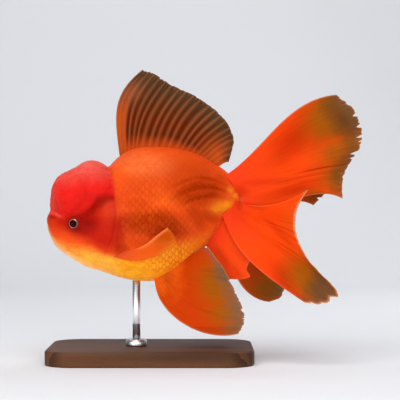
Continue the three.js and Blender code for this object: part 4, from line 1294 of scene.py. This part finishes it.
def root_line(points):
    """The root of a fin as a smooth function of the share along it, passing evenly through its points."""
    points = np.array(points, float)
    points = np.concatenate([[2 * points[0] - points[1]], points, [2 * points[-1] - points[-2]]])
    gap = np.linalg.norm(np.diff(points, axis=0), axis=1) ** 0.5
    spans = len(points) - 3

    def at(s):
        place = np.asarray(s) * spans
        i = np.clip(place.astype(int), 0, spans - 1)
        w = (place - i)[..., None]
        a, b, c, d = (points[i + k] for k in range(4))
        ga, gb, gc = (gap[i + k][..., None] for k in range(3))
        leave = ((b - a) / ga - (c - a) / (ga + gb) + (c - b) / gb) * gb
        arrive = ((c - b) / gb - (d - b) / (gb + gc) + (d - c) / gc) * gb
        w2, w3 = w * w, w * w * w
        return (
            (2 * w3 - 3 * w2 + 1) * b + (w3 - 2 * w2 + w) * leave
            + (3 * w2 - 2 * w3) * c + (w3 - w2) * arrive
        )

    return at


def fin_surface(fin, s, t):
    """Points of a fin's middle surface, at shares s along its root and t out to its margin."""
    rays = fin["rays"]
    tip = np.stack([through([(r["at"], r["tip"][k]) for r in rays])(s) for k in range(3)], -1)
    leave = np.radians(through([(r["at"], r["leave"]) for r in rays])(s))
    arrive = np.radians(through([(r["at"], r["arrive"]) for r in rays])(s))
    start = root_line(fin["root"])(s)
    reach = np.hypot(tip[..., 0] - start[..., 0], tip[..., 2] - start[..., 2])
    reach = reach * through([(r["at"], r["pull"]) for r in rays])(s)
    t2, t3 = t * t, t * t * t
    h = (2 * t3 - 3 * t2 + 1, (t3 - 2 * t2 + t) * reach, 3 * t2 - 2 * t3, (t3 - t2) * reach)
    wave = fin["ripple"] * t2 * np.sin(2 * math.pi * (fin["waves"] * s + fin["phase"]))
    return np.stack([
        h[0] * start[..., 0] + h[1] * np.cos(leave) + h[2] * tip[..., 0] + h[3] * np.cos(arrive),
        start[..., 1] + (tip[..., 1] - start[..., 1]) * t ** fin["bulge"] + wave,
        h[0] * start[..., 2] + h[1] * np.sin(leave) + h[2] * tip[..., 2] + h[3] * np.sin(arrive),
    ], -1)


def fin_patches(fin, kind, flat):
    """The patches of one kind on a fin, each fading out from its own strength."""
    return [depth * haze(flat, *where) for *where, depth in fin[kind]]


def fin_marks(fin, points, s, t, rays):
    """The colour masks of a fin, (amber, shade, pale edging), and how far out each point counts."""
    flat = points.reshape(-1, 3)
    bare = np.zeros(len(flat))
    amber = [depth * smooth(s, low, high).ravel() for low, high, depth in fin["bands"]]
    amber = np.maximum.reduce([bare, *fin_patches(fin, "amber", flat), *amber])
    dark = np.maximum.reduce([bare, *fin_patches(fin, "dark", flat)])
    gap = np.linalg.norm(np.diff(points, axis=0), axis=2)
    from_front = np.concatenate([np.zeros((1, gap.shape[1])), np.cumsum(gap, 0)])
    gap = np.linalg.norm(np.diff(points, axis=1), axis=2)
    from_margin = np.concatenate([np.cumsum(gap[:, ::-1], 1)[:, ::-1], np.zeros((gap.shape[0], 1))], 1)
    pale = np.zeros(t.shape)
    edges = (from_front, from_front[-1] - from_front, from_margin)
    for strength, wide, far in zip(fin["pale"], fin["pale_to"], edges):
        pale = np.maximum(pale, strength * (1 - smooth(far, 0.2, wide)))
    pale = np.maximum(pale, 0.4 * rays * smooth(t, 0.93, 1)) * smooth(t, 0.12, 0.35)
    pale = np.maximum.reduce([pale.ravel(), *fin_patches(fin, "light", flat)])
    reach = np.minimum(t.ravel() + sum(fin_patches(fin, "tip", flat)), 1.15)
    return np.stack([amber, dark, pale], 1), reach


def fin_rays(fin, s, t, dice):
    """How much each point lies on a ray, from 0 to 1. Rays fork on their way out."""
    turn = 2 * math.pi
    sway = sum(dice.uniform(0.08, 0.16) * np.sin(turn * (k * s[:, 0] + dice.uniform())) for k in (2, 3, 5, 9))
    lane = fin["count"] * s + fin["sway"] * sway[:, None]
    vivid = dice.uniform(0.35, 1, 4 * fin["count"])
    single = np.cos(math.pi * lane) ** 2 * (1 - fin["uneven"] * vivid[np.round(lane).astype(int)])
    double = np.cos(turn * lane) ** 2 * (1 - fin["uneven"] * vivid[np.round(2 * lane).astype(int)])
    fork = smooth(t, fin["branch"], fin["branch"] + 0.3)
    rays = (single * (1 - fork) + double * fork) ** RAY_KEENNESS
    edge_ray = np.exp(-((s / EDGE_RAY) ** 2)) + np.exp(-(((1 - s) / EDGE_RAY) ** 2))
    return np.maximum(rays, edge_ray)


def margin_lost(fin, s, at_margin, dice):
    """The share of its reach that each line out to the margin loses to small tears and notches."""
    tears = sum(np.clip(np.sin(2 * math.pi * (k * s + dice.uniform())), 0, 1) ** 8 for k in (4, 7, 11))
    inner = smooth(np.minimum(s, 1 - s), 0, 0.06)
    lost = fin["ragged"] * inner * (0.85 * tears / 1.6 + 0.15 * (1 - at_margin))
    for place, wide, depth in fin["notches"]:
        lost = np.maximum(lost, depth * np.clip(1 - np.abs(s - place) / wide, 0, 1) ** 0.8)
    return lost


def build_fin(name, fin, seed):
    """A closed, thin fin with branching rays, pleats between them and a slightly ragged margin."""
    props = bpy.context.scene.oranda_fins
    across, out = fin["cells"]
    s, t = np.meshgrid(np.linspace(0, 1, across + 1), np.linspace(0, 1, out + 1), indexing="ij")
    dice = np.random.default_rng(seed)
    rays = fin_rays(fin, s, t, dice)
    lost = margin_lost(fin, s[:, 0], rays[:, -1], dice)
    middle = fin_surface(fin, s, t * (1 - lost[:, None] * smooth(t, 0.5, 1)))
    relief = fin["relief"]
    normal = np.cross(np.gradient(middle, axis=0), np.gradient(middle, axis=1))
    normal /= np.maximum(np.linalg.norm(normal, axis=2, keepdims=True), 1e-9)
    pleat = relief * props.pleats / MM * smooth(t, 0.05, 0.6) * (rays - 0.5)
    crease = np.zeros(s.shape)
    for place, wide, begin, depth in fin["folds"]:
        fold = np.exp(-(((s - place) / wide) ** 2)) * smooth(t, begin, begin + 0.3)
        crease = np.maximum(crease, depth * fold)
    pleat = pleat - 0.8 * crease
    middle = middle + normal * pleat[..., None]
    half = (FIN_ROOT + (FIN_EDGE - FIN_ROOT) * t ** 0.6) / 2
    flare, flare_reach = fin["flare"]
    half = half * (1 - 0.45 * relief * (1 - rays)) + flare * np.exp(-t / flare_reach)
    rim = np.minimum(np.minimum(s, 1 - s) * across / 3, (1 - t) * out / 2)
    half = half * (0.35 + 0.65 * np.sqrt(np.clip(rim, 0, 1)))
    upper, lower = middle + normal * half[..., None], middle - normal * half[..., None]
    points = np.concatenate([upper.reshape(-1, 3), lower.reshape(-1, 3)])
    mesh = make_mesh(name, points, sheet_faces(across, out))
    marks, reach = fin_marks(fin, middle, s, t, rays)
    read = np.stack([reach, rays.ravel(), s.ravel()], -1)
    # Painted shade along the creases.
    marks[:, 1] = np.maximum(marks[:, 1], 0.9 * crease.ravel())
    set_vectors(mesh, "fin", np.concatenate([read, read]))
    set_vectors(mesh, "fin_marks", np.concatenate([marks, marks]))
    place = np.stack([s * 0.48, t * 0.96], -1).reshape(-1, 2) + MAP_MARGIN
    place = np.concatenate([place, place + (0.5, 0)])  # each face has its own half of the map
    set_map(mesh, "OFBake", place[corner_points(mesh)])
    add_piece(name + "_membrane", mesh, fin_material(fin["look"]), (name,))


# ---------- eyes ----------

@once
def eye_material():
    """A black pupil in a thin silvery ring, dark red-brown outside it."""
    props = bpy.context.scene.oranda_eyes
    material, n, shader = principled(
        "glass eye", Coat_Weight=0.03, Coat_Roughness=0.03, Specular_IOR_Level=0.02
    )
    off, around, _ = n.parts(n.attribute("eye"))
    pupil = math.asin(props.pupil / 2 / MM / EYE_RADIUS) / math.pi
    ring = math.asin(min(props.ring / 2 / MM / EYE_RADIUS, 1)) / math.pi
    spokes = n.add("ShaderNodeCombineXYZ")
    n.feed(spokes.inputs[0], n.maths("MULTIPLY", around, 70.0))
    n.feed(spokes.inputs[1], n.maths("MULTIPLY", off, 30.0))
    fibre = n.noise(spokes.outputs[0], 1.0, 3.0, 0.6)
    outside_pupil = n.remap(off, pupil - 0.004, pupil + 0.008)
    in_ring = n.maths("MULTIPLY", outside_pupil, n.remap(off, ring + 0.006, ring - 0.02))
    iris = n.blend(n.remap(fibre, 0.35, 0.7), tuple(props.iris), tuple(props.iris_dark))
    outer = n.blend(n.remap(off, ring - 0.02, ring + 0.01), (0.022, 0.0008, 0.0002), tuple(props.outer))
    n.feed(shader.inputs["Metallic"], n.maths("MULTIPLY", in_ring, 0.75))
    roughness = n.remap(in_ring, 0.0, 1.0, 0.08, 0.3)
    dress(n, shader, n.blend(in_ring, outer, iris), roughness, fibre, 0.15, 0.0001)
    return material


def build_eye(name, side):
    """An eyeball with a slightly bulging front, turned to look out and a little forward."""
    rings, spokes = 48, 64
    centre = EYE_AT * (1, -side, 1)
    axis = eye_axis(side)
    up = np.array((0, 0, 1.0))
    across = np.cross(up, axis)
    off, around = np.meshgrid(np.arange(1, rings) / rings, np.arange(spokes) / spokes, indexing="ij")
    angle, turn = off * math.pi, around * 2 * math.pi
    radius = EYE_RADIUS * (0.985 + 0.05 * np.exp(-((angle / 0.55) ** 2)))
    ring_dip = -0.05 * np.exp(-(((angle - 0.78) / 0.12) ** 2))
    radius = radius + ring_dip
    way = (
        np.cos(angle)[..., None] * axis
        + np.sin(angle)[..., None] * (np.cos(turn)[..., None] * across + np.sin(turn)[..., None] * up)
    )
    body = centre + way * radius[..., None]
    tips = np.array([centre + axis * EYE_RADIUS * 1.035, centre - axis * EYE_RADIUS * 0.985])
    points = np.concatenate([body.reshape(-1, 3), tips])
    mesh = make_mesh(name, points, *shell_faces(rings - 1, spokes))
    read = np.stack([off, around, off * 0], -1).reshape(-1, 3)
    set_vectors(mesh, "eye", np.concatenate([read, [(0, 0, 0), (1, 0, 0)]]))
    add_piece(name + "_ball", mesh, eye_material(), (name,))


# ---------- stand ----------

@once
def grain_group():
    """Straight wood grain along X with slow bands and short dark pores."""
    tree, n, given, out = node_group(
        "wood grain",
        {"Light": (0.2, 0.1, 0.05), "Dark": (0.05, 0.02, 0.01), "Band scale": 60.0, "Pores": 0.5},
        {"Color": tuple, "Roughness": float, "Height": float},
    )
    place = n.places()
    long = n.stretched(place, (0.09, 1.0, 1.0))
    warp = n.noise(long, 45.0, 3.0, 0.5)
    rings = n.add("ShaderNodeTexWave", wave_type="BANDS", bands_direction="Y", wave_profile="SAW")
    n.feed(rings.inputs["Vector"], long)
    n.feed(rings.inputs["Scale"], given["Band scale"])
    rings.inputs["Distortion"].default_value = 7.0
    rings.inputs["Detail"].default_value = 3.0
    rings.inputs["Detail Scale"].default_value = 1.4
    band = n.maths("ADD", n.maths("MULTIPLY", rings.outputs[1], 0.6), n.maths("MULTIPLY", warp, 0.5))
    pores = n.noise(n.stretched(place, (0.05, 1.0, 1.0)), 2600.0, 2.0, 0.5)
    pore = n.maths("MULTIPLY", n.remap(pores, 0.58, 0.7), given["Pores"])
    colour = n.blend(n.remap(band, 0.25, 0.85), given["Light"], given["Dark"])
    n.feed(out["Color"], n.blend(pore, colour, given["Dark"]))
    n.feed(out["Roughness"], n.remap(band, 0.2, 0.9, 0.5, 0.62))
    n.feed(out["Height"], n.maths("SUBTRACT", n.maths("MULTIPLY", band, 0.3), pore))
    return tree


@once
def wood_material():
    """Dark walnut, oiled and barely glossy."""
    props = bpy.context.scene.oranda_stand
    material, n, shader = principled("oiled walnut", Specular_IOR_Level=0.12)
    light, dark = tuple(props.wood_light), tuple(props.wood_dark)
    grain = n.group(grain_group(), Light=light, Dark=dark, Band_scale=55.0, Pores=0.4)
    dress(n, shader, grain["Color"], grain["Roughness"], grain["Height"], 0.35, 0.0002)
    return material


@once
def brushed_group():
    """Fine scratches that run one way, over slow smears of wear."""
    tree, n, given, out = node_group(
        "brushed finish", {"Scratches": "", "Base roughness": 0.25},
        {"Roughness": float, "Height": float, "Shade": float},
    )
    fine = n.noise(given["Scratches"], 3000.0, 2.0, 0.6)
    smear = n.noise(n.places(), 90.0, 3.0, 0.6)
    n.feed(out["Roughness"], n.maths("ADD", given["Base roughness"], n.maths(
        "ADD", n.remap(fine, 0.3, 0.7, -0.05, 0.08), n.remap(smear, 0.4, 0.7, 0.0, 0.07))))
    n.feed(out["Height"], fine)
    n.feed(out["Shade"], n.remap(smear, 0.3, 0.7, 0.0, 1.0))
    return tree


@once
def steel_material(name, stretch):
    """Brushed steel, its scratches drawn out along the axis of the smallest stretch."""
    material, n, shader = principled(name, Metallic=1.0)
    finish = n.group(brushed_group(), Scratches=n.stretched(n.places(), stretch), Base_roughness=0.24)
    shade = n.blend(finish["Shade"], (0.62, 0.62, 0.64), (0.5, 0.5, 0.52))
    dress(n, shader, shade, finish["Roughness"], finish["Height"], 0.15, 0.0001)
    return material


def turned(name, profile_points, spokes=72):
    """A lathe-turned mesh from (radius, height) points in metres, closed on the axis or on itself."""
    rings = np.array(profile_points) / MM
    turn = np.arange(spokes) * 2 * math.pi / spokes
    radius, height = rings[:, 0, None], np.repeat(rings[:, 1, None], spokes, 1)
    points = np.stack([radius * np.cos(turn), radius * np.sin(turn), height], -1)
    grid = np.arange(len(rings) * spokes).reshape(len(rings), spokes)
    following = np.roll(grid, -1, axis=1)
    wrap = np.roll(np.arange(len(rings)), -1)
    quads = np.stack([grid, following, following[wrap], grid[wrap]], -1).reshape(-1, 4)
    return make_mesh(name, points.reshape(-1, 3), quads)


BASE_ARC, EDGE_ARC = 16, 6  # steps round each corner, and over the rounded top edge
BASE_FOOT = 0.0006  # bevel under the base
ROD_BEVEL, ROD_TIP = 0.0004, 0.0001  # bevel of the rod's ends, and the fine hole left on its axis
COLLAR_BORE = 0.0025  # radius of the collar's hole
COLLAR_FOOT, COLLAR_LIP = 0.0003, 0.0004  # bevels under the collar and inside its top
COLLAR_SHOULDER = 0.0016  # how far the collar narrows
COLLAR_STRAIGHT = 0.45  # share of its height below the rounded shoulder
STAND_SHARP = 38  # degrees between the stand's faces that leave an edge sharp


def build_base():
    """A flat board with round corners, a rounded top edge and a fine bevel underneath."""
    props = bpy.context.scene.oranda_stand
    low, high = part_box("stand_base")
    half_x, half_y, tall = (high.x - low.x) / 2, (high.y - low.y) / 2, high.z - low.z
    corner, edge = props.corner, props.edge
    turn = np.linspace(0, math.pi / 2, BASE_ARC + 1)
    turns = np.concatenate([turn + quarter * math.pi / 2 for quarter in range(4)])
    outward = np.stack([np.cos(turns), np.sin(turns)], 1)
    corners = np.array([(1, 1), (-1, 1), (-1, -1), (1, -1)]) * (half_x - corner, half_y - corner)
    outline = np.repeat(corners, len(turn), 0) + corner * outward
    steps = np.linspace(0, math.pi / 2, EDGE_ARC + 1)
    layers = [(BASE_FOOT, 0.0), (0.0, BASE_FOOT)]
    layers += [(edge * (1 - math.cos(a)), tall - edge * (1 - math.sin(a))) for a in steps]
    count = len(outline)
    points = [np.concatenate([outline - outward * inset, np.full((count, 1), z)], 1) for inset, z in layers]
    points = np.concatenate([*points, [(0, 0, 0), (0, 0, tall)]]) + (0, 0, low.z)
    mesh = make_mesh("base", points / MM, *shell_faces(len(layers), count, turned_over=True))
    mesh.set_sharp_from_angle(angle=math.radians(STAND_SHARP))
    add_piece("walnut_base", mesh, wood_material(), ("stand_base",))


def build_rod():
    """The steel rod, brushed along its length, and the turned collar that it stands in."""
    low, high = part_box("stand_rod")
    radius = (high.x - low.x) / 2
    rod = turned("rod", [
        (ROD_TIP, low.z), (radius - ROD_BEVEL, low.z), (radius, low.z + ROD_BEVEL),
        (radius, high.z - ROD_BEVEL), (radius - ROD_BEVEL, high.z), (ROD_TIP, high.z),
    ])
    steel = steel_material("brushed steel rod", (1.0, 1.0, 0.03))
    place_on_rod(add_piece("steel_rod", rod, steel, ("stand_rod",)), low, high)
    low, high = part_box("stand_collar")
    radius, tall = (high.x - low.x) / 2, high.z - low.z
    shoulder = [
        (radius - COLLAR_SHOULDER * (1 - math.cos(a)),
         low.z + tall * COLLAR_STRAIGHT + tall * (1 - COLLAR_STRAIGHT) * math.sin(a))
        for a in np.linspace(0, math.pi / 2, 8)
    ]
    collar = turned("collar", [
        (COLLAR_BORE, low.z), (radius - COLLAR_FOOT, low.z), (radius, low.z + COLLAR_FOOT), *shoulder,
        (COLLAR_BORE + COLLAR_LIP, high.z), (COLLAR_BORE, high.z - COLLAR_LIP),
    ])
    collar.set_sharp_from_angle(angle=math.radians(STAND_SHARP))
    steel = steel_material("turned steel collar", (1.0, 1.0, 40.0))
    place_on_rod(add_piece("steel_collar", collar, steel, ("stand_collar",)), low, high)


def place_on_rod(piece, low, high):
    """Moves a turned piece's points from the origin to the middle of its box."""
    for vertex in piece.data.vertices:
        vertex.co.x += (low.x + high.x) / 2
        vertex.co.y += (low.y + high.y) / 2


# ---------- stage ----------

@once
def backdrop_material():
    """Plain, matt and pale, and see-through from its back."""
    props = bpy.context.scene.oranda_stage
    material, n, shader = principled("pale backdrop", Roughness=0.9, Specular_IOR_Level=0.2)
    tone = n.noise(n.places(), 3.0, 2.0, 0.5)
    pale = tuple(props.backdrop)
    deeper = tuple(c * 0.96 for c in pale)
    n.feed(shader.inputs["Base Color"], n.blend(tone, deeper, pale))
    behind = n.add("ShaderNodeNewGeometry").outputs["Backfacing"]
    n.feed(shader.inputs["Alpha"], n.maths("SUBTRACT", 1.0, behind))
    return material


def build_backdrop():
    """A pale floor that sweeps up into a wall behind. It can only be seen from its front."""
    props = bpy.context.scene.oranda_stage
    side, front, top = 2.4, -2.2, 2.2
    depth, bend = props.wall_distance, 0.35
    turns = np.linspace(0, math.pi / 2, 24)
    sweep = [(depth - bend + bend * math.sin(a), bend - bend * math.cos(a)) for a in turns]
    steps = [(front, 0.0), *sweep, (depth, top)]
    points = np.array([(x, y, z) for y, z in steps for x in (-side, side)])
    k = np.arange(len(steps) - 1) * 2
    mesh = make_mesh("backdrop", points / MM, np.stack([k, k + 1, k + 3, k + 2], 1))
    mesh.materials.append(backdrop_material())
    backdrop = bpy.data.objects.new("backdrop", mesh)
    bpy.context.scene.collection.objects.link(backdrop)


def add_light(name, place, target, size, power):
    """A rectangular light turned towards its target, which the camera doesn't see."""
    light = bpy.data.lights.new(name, "AREA")
    light.shape = "RECTANGLE"
    light.size, light.size_y = size
    light.energy = power
    holder = bpy.data.objects.new(name, light)
    holder.location = place
    holder.rotation_euler = (Vector(target) - Vector(place)).to_track_quat("-Z", "Y").to_euler()
    holder.visible_camera = False
    bpy.context.scene.collection.objects.link(holder)


def build_lights():
    """Soft lights round the model, one on the wall behind it, and a faint even surrounding light."""
    props = bpy.context.scene.oranda_stage
    low, high = CAD_BOX
    centre = (low + high) / 2
    k = props.light
    add_light("top softbox", centre + Vector((-0.1, -0.35, 0.7)), centre, (0.8, 0.6), 12.0 * k)
    add_light("front softbox", centre + Vector((-0.2, -1.5, 0.4)), centre, (2.4, 1.2), 15.0 * k)
    add_light("left fill", centre + Vector((-0.62, -0.62, 0.02)), centre, (0.9, 0.2), 2.6 * k)
    add_light("floor light", Vector((centre.x, -0.28, 0.012)), centre, (0.7, 0.1), 1.0 * k)
    add_light("bounce card", Vector((centre.x, 0, 0.02)), centre, (0.26, 0.16), 0.16 * k)
    add_light("rear fill", centre + Vector((0.55, 0.45, 0.35)), centre, (0.4, 0.4), 3.0 * k)
    wall = centre + Vector((0, props.wall_distance, 0.3))
    add_light("backdrop light", centre + Vector((0, 0.45, 0.9)), wall, (1.6, 0.2), 9.0 * k)
    world = bpy.data.worlds.new("studio")
    bpy.context.scene.world = world
    world.use_nodes = True
    shade = world.node_tree.nodes["Background"]
    shade.inputs["Color"].default_value = (0.9, 0.93, 1.0, 1)
    shade.inputs["Strength"].default_value = props.ambient


def build_camera():
    """A level view of the fish's left side."""
    props = bpy.context.scene.oranda_stage
    camera = bpy.data.cameras.new("camera")
    camera.sensor_width = 36.0
    camera.lens = camera.sensor_width * props.camera_distance / props.view_width
    camera.clip_start, camera.clip_end = 0.05, 20
    holder = bpy.data.objects.new("camera", camera)
    holder.location = (props.view_x, -props.camera_distance, props.view_z)
    holder.rotation_euler = (math.radians(90), 0, 0)
    bpy.context.scene.collection.objects.link(holder)
    bpy.context.scene.camera = holder
    bpy.context.scene.view_settings.view_transform = "Standard"


# ---------- settings ----------

def colour(name, description, value):
    return FloatVectorProperty(
        name=name, description=description, subtype="COLOR", size=3, min=0, max=1, default=value
    )


def size(name, description, metres, most=1.0):
    return FloatProperty(
        name=name, description=description, unit="LENGTH", min=0, max=most, default=metres, precision=5
    )


def share(name, description, value):
    return FloatProperty(name=name, description=description, default=value, min=0, max=1)


def count(name, description, value, least):
    return IntProperty(name=name, description=description, default=value, min=least, max=600)


class OrandaBodySettings(PropertyGroup):
    """Shape and colours of the skin."""

    rings: count("Rings", "Rings of the skin's net", 430, 40)
    spokes: count("Spokes", "Spokes of the skin's net, a multiple of 4", 384, 32)
    nodules: size("Nodule height", "Height of the hood's lumps", 0.00045)
    coat_depth: size("Coat depth", "How far the skin lies under the scales' tops", 0.00025)
    hood: colour("Hood", "Red of the fleshy hood", (0.69, 0.013, 0.009))
    # Painted highlight: the pinkish red on top of the hood, along its front, on the nostril flaps and on the
    # gill covers' top.
    pink: colour("Pink", "Paler red on top of the hood and on the gill covers", (0.73, 0.10, 0.07))
    head: colour("Head", "Red of the cheeks and gill covers", (0.48, 0.013, 0.004))
    flank: colour("Flank", "Orange of the back and sides", (0.80, 0.075, 0.009))
    gold: colour("Gold", "Yellow of the throat and belly", (0.90, 0.38, 0.012))
    # Also used for painted shade in the bottoms of the folds and behind the gill openings.
    dark_flank: colour("Dark flank", "Brownish orange of the middle of the side", (0.33, 0.021, 0.0001))
    # Painted shade under the hood, round the eyes, behind the gill covers and in the hood's front fold.
    dark_head: colour("Dark head", "Dark red in the head's hollows", (0.24, 0.0025, 0.001))
    # Cream paints rim light under the chin and sheen on the top of the back.
    cream: colour("Cream", "Pale cream, mostly under the chin", (0.86, 0.52, 0.24))
    mottle: share("Mottle", "Strength of the soft mottling", 0.3)


class OrandaScaleSettings(PropertyGroup):
    """Sizes of the scales."""

    pitch: size("Pitch", "Distance between scales along the side", 0.0035)
    row_pitch: size("Row pitch", "Distance between staggered rows", 0.0021)
    depth: size("Root depth", "How deep a scale's root lies", 0.00034)
    lift: size("Lift", "How far a scale's free edge stands up or sinks", 0.00008)
    thickness: size("Thickness", "Thickness of a scale", 0.00009)


class OrandaFinSettings(PropertyGroup):
    """Colours and relief of the fins."""

    root: colour("Root", "Colour where a fin leaves the body", (0.76, 0.042, 0.008))
    middle: colour("Middle", "Colour of a fin's middle", (0.77, 0.052, 0.003))
    amber: colour("Amber", "Olive amber towards the margin", (0.27, 0.068, 0.0016))
    # Also the painted shade in the fins' creases and at the tail's root.
    dark: colour("Dark", "Deeper orange of the fins' hollows", (0.44, 0.018, 0.0))
    margin: colour("Margin", "Colour of the clear margin", (0.12, 0.046, 0.009))
    ray: colour("Rays", "Colour of the rays", (0.68, 0.075, 0.02))
    edge: colour("Edging", "Pale line along the edges", (0.6, 0.23, 0.11))
    clearness: share("Clearness", "How clear the margins are", 0.12)
    pleats: size("Pleats", "Height of the pleats between rays", 0.00014)


class OrandaEyeSettings(PropertyGroup):
    """Sizes and colours of the eyes."""

    pupil: size("Pupil", "Diameter of the pupil", 0.0041)
    ring: size("Ring", "Outer diameter of the silvery ring", 0.0052)
    iris: colour("Ring", "Silver of the ring", (0.66, 0.5, 0.44))
    iris_dark: colour("Ring shade", "Darker streaks of the ring", (0.3, 0.12, 0.09))
    outer: colour("Surround", "Skin-toned surround of the ring", (0.16, 0.012, 0.008))


class OrandaStandSettings(PropertyGroup):
    """Sizes and colours of the stand."""

    corner: size("Corner radius", "Radius of the base's corners", 0.016)
    edge: size("Edge radius", "Rounding of the base's top edge", 0.0012)
    wood_light: colour("Light wood", "Lighter bands of the walnut", (0.12, 0.046, 0.018))
    wood_dark: colour("Dark wood", "Darker bands of the walnut", (0.05, 0.02, 0.01))


class OrandaStageSettings(PropertyGroup):
    """Backdrop, light and camera."""

    backdrop: colour("Backdrop", "Pale grey of the backdrop", (0.72, 0.73, 0.75))
    wall_distance: size("Wall distance", "From the model to the wall behind", 1.0, 5.0)
    light: share("Light", "Brightness of the softboxes", 0.5)
    ambient: share("Ambient", "Brightness of the surrounding light", 0.22)
    camera_distance: size("Camera distance", "From the camera to the fish's middle plane", 0.8, 5.0)
    view_width: size("View width", "Width of the view at the fish's middle plane", 0.22)
    view_x: size("View centre", "Where the camera looks along the model", 0.02695)
    view_z: size("View height", "Height of the camera", 0.088)


SETTINGS = {
    "oranda_body": OrandaBodySettings,
    "oranda_scales": OrandaScaleSettings,
    "oranda_fins": OrandaFinSettings,
    "oranda_eyes": OrandaEyeSettings,
    "oranda_stand": OrandaStandSettings,
    "oranda_stage": OrandaStageSettings,
}


# ---------- operators ----------

class ORANDA_OT_skin(Operator):
    """Build the one skin over head, hood and trunk"""

    bl_idname = "oranda.skin"
    bl_label = "Skin"

    def execute(self, context):
        build_skin()
        return {"FINISHED"}


class ORANDA_OT_scales(Operator):
    """Lay the scales over both flanks"""

    bl_idname = "oranda.scales"
    bl_label = "Scales"

    def execute(self, context):
        build_scales("scales_left", -1)
        build_scales("scales_right", 1)
        return {"FINISHED"}


class ORANDA_OT_fins(Operator):
    """Build every fin with its rays"""

    bl_idname = "oranda.fins"
    bl_label = "Fins"

    def execute(self, context):
        for seed, (name, fin) in enumerate(FINS.items()):
            build_fin(name, {**FIN_USUAL, **fin}, seed)
        return {"FINISHED"}


class ORANDA_OT_eyes(Operator):
    """Build both eyes"""

    bl_idname = "oranda.eyes"
    bl_label = "Eyes"

    def execute(self, context):
        build_eye("eye_left", -1)
        build_eye("eye_right", 1)
        return {"FINISHED"}


class ORANDA_OT_stand(Operator):
    """Build the display stand"""

    bl_idname = "oranda.stand"
    bl_label = "Stand"

    def execute(self, context):
        build_base()
        build_rod()
        return {"FINISHED"}


class ORANDA_OT_stage(Operator):
    """Set up the backdrop, lights and camera"""

    bl_idname = "oranda.stage"
    bl_label = "Stage"

    def execute(self, context):
        build_backdrop()
        build_lights()
        build_camera()
        return {"FINISHED"}


OPERATORS = (
    ORANDA_OT_stage, ORANDA_OT_skin, ORANDA_OT_scales, ORANDA_OT_fins, ORANDA_OT_eyes, ORANDA_OT_stand,
)


class ORANDA_PT_panel(Panel):
    """Lists the steps that build the model, with their settings."""

    bl_idname = "ORANDA_PT_panel"
    bl_label = "Red Oranda"
    bl_space_type = "VIEW_3D"
    bl_region_type = "UI"
    bl_category = "Oranda"

    def draw(self, context):
        layout = self.layout
        for operator in OPERATORS:
            layout.operator(operator.bl_idname)
        for name, settings in SETTINGS.items():
            box = layout.box()
            for field in settings.__annotations__:
                box.prop(getattr(context.scene, name), field)


CLASSES = (*SETTINGS.values(), *OPERATORS, ORANDA_PT_panel)


def register():
    for cls in CLASSES:
        bpy.utils.register_class(cls)
    for name, settings in SETTINGS.items():
        setattr(bpy.types.Scene, name, PointerProperty(type=settings))


def unregister():
    for name in SETTINGS:
        delattr(bpy.types.Scene, name)
    for cls in reversed(CLASSES):
        bpy.utils.unregister_class(cls)


def main():
    register()
    for operator in OPERATORS:
        module, name = operator.bl_idname.split(".")
        getattr(getattr(bpy.ops, module), name)()


if __name__ == "__main__":
    main()
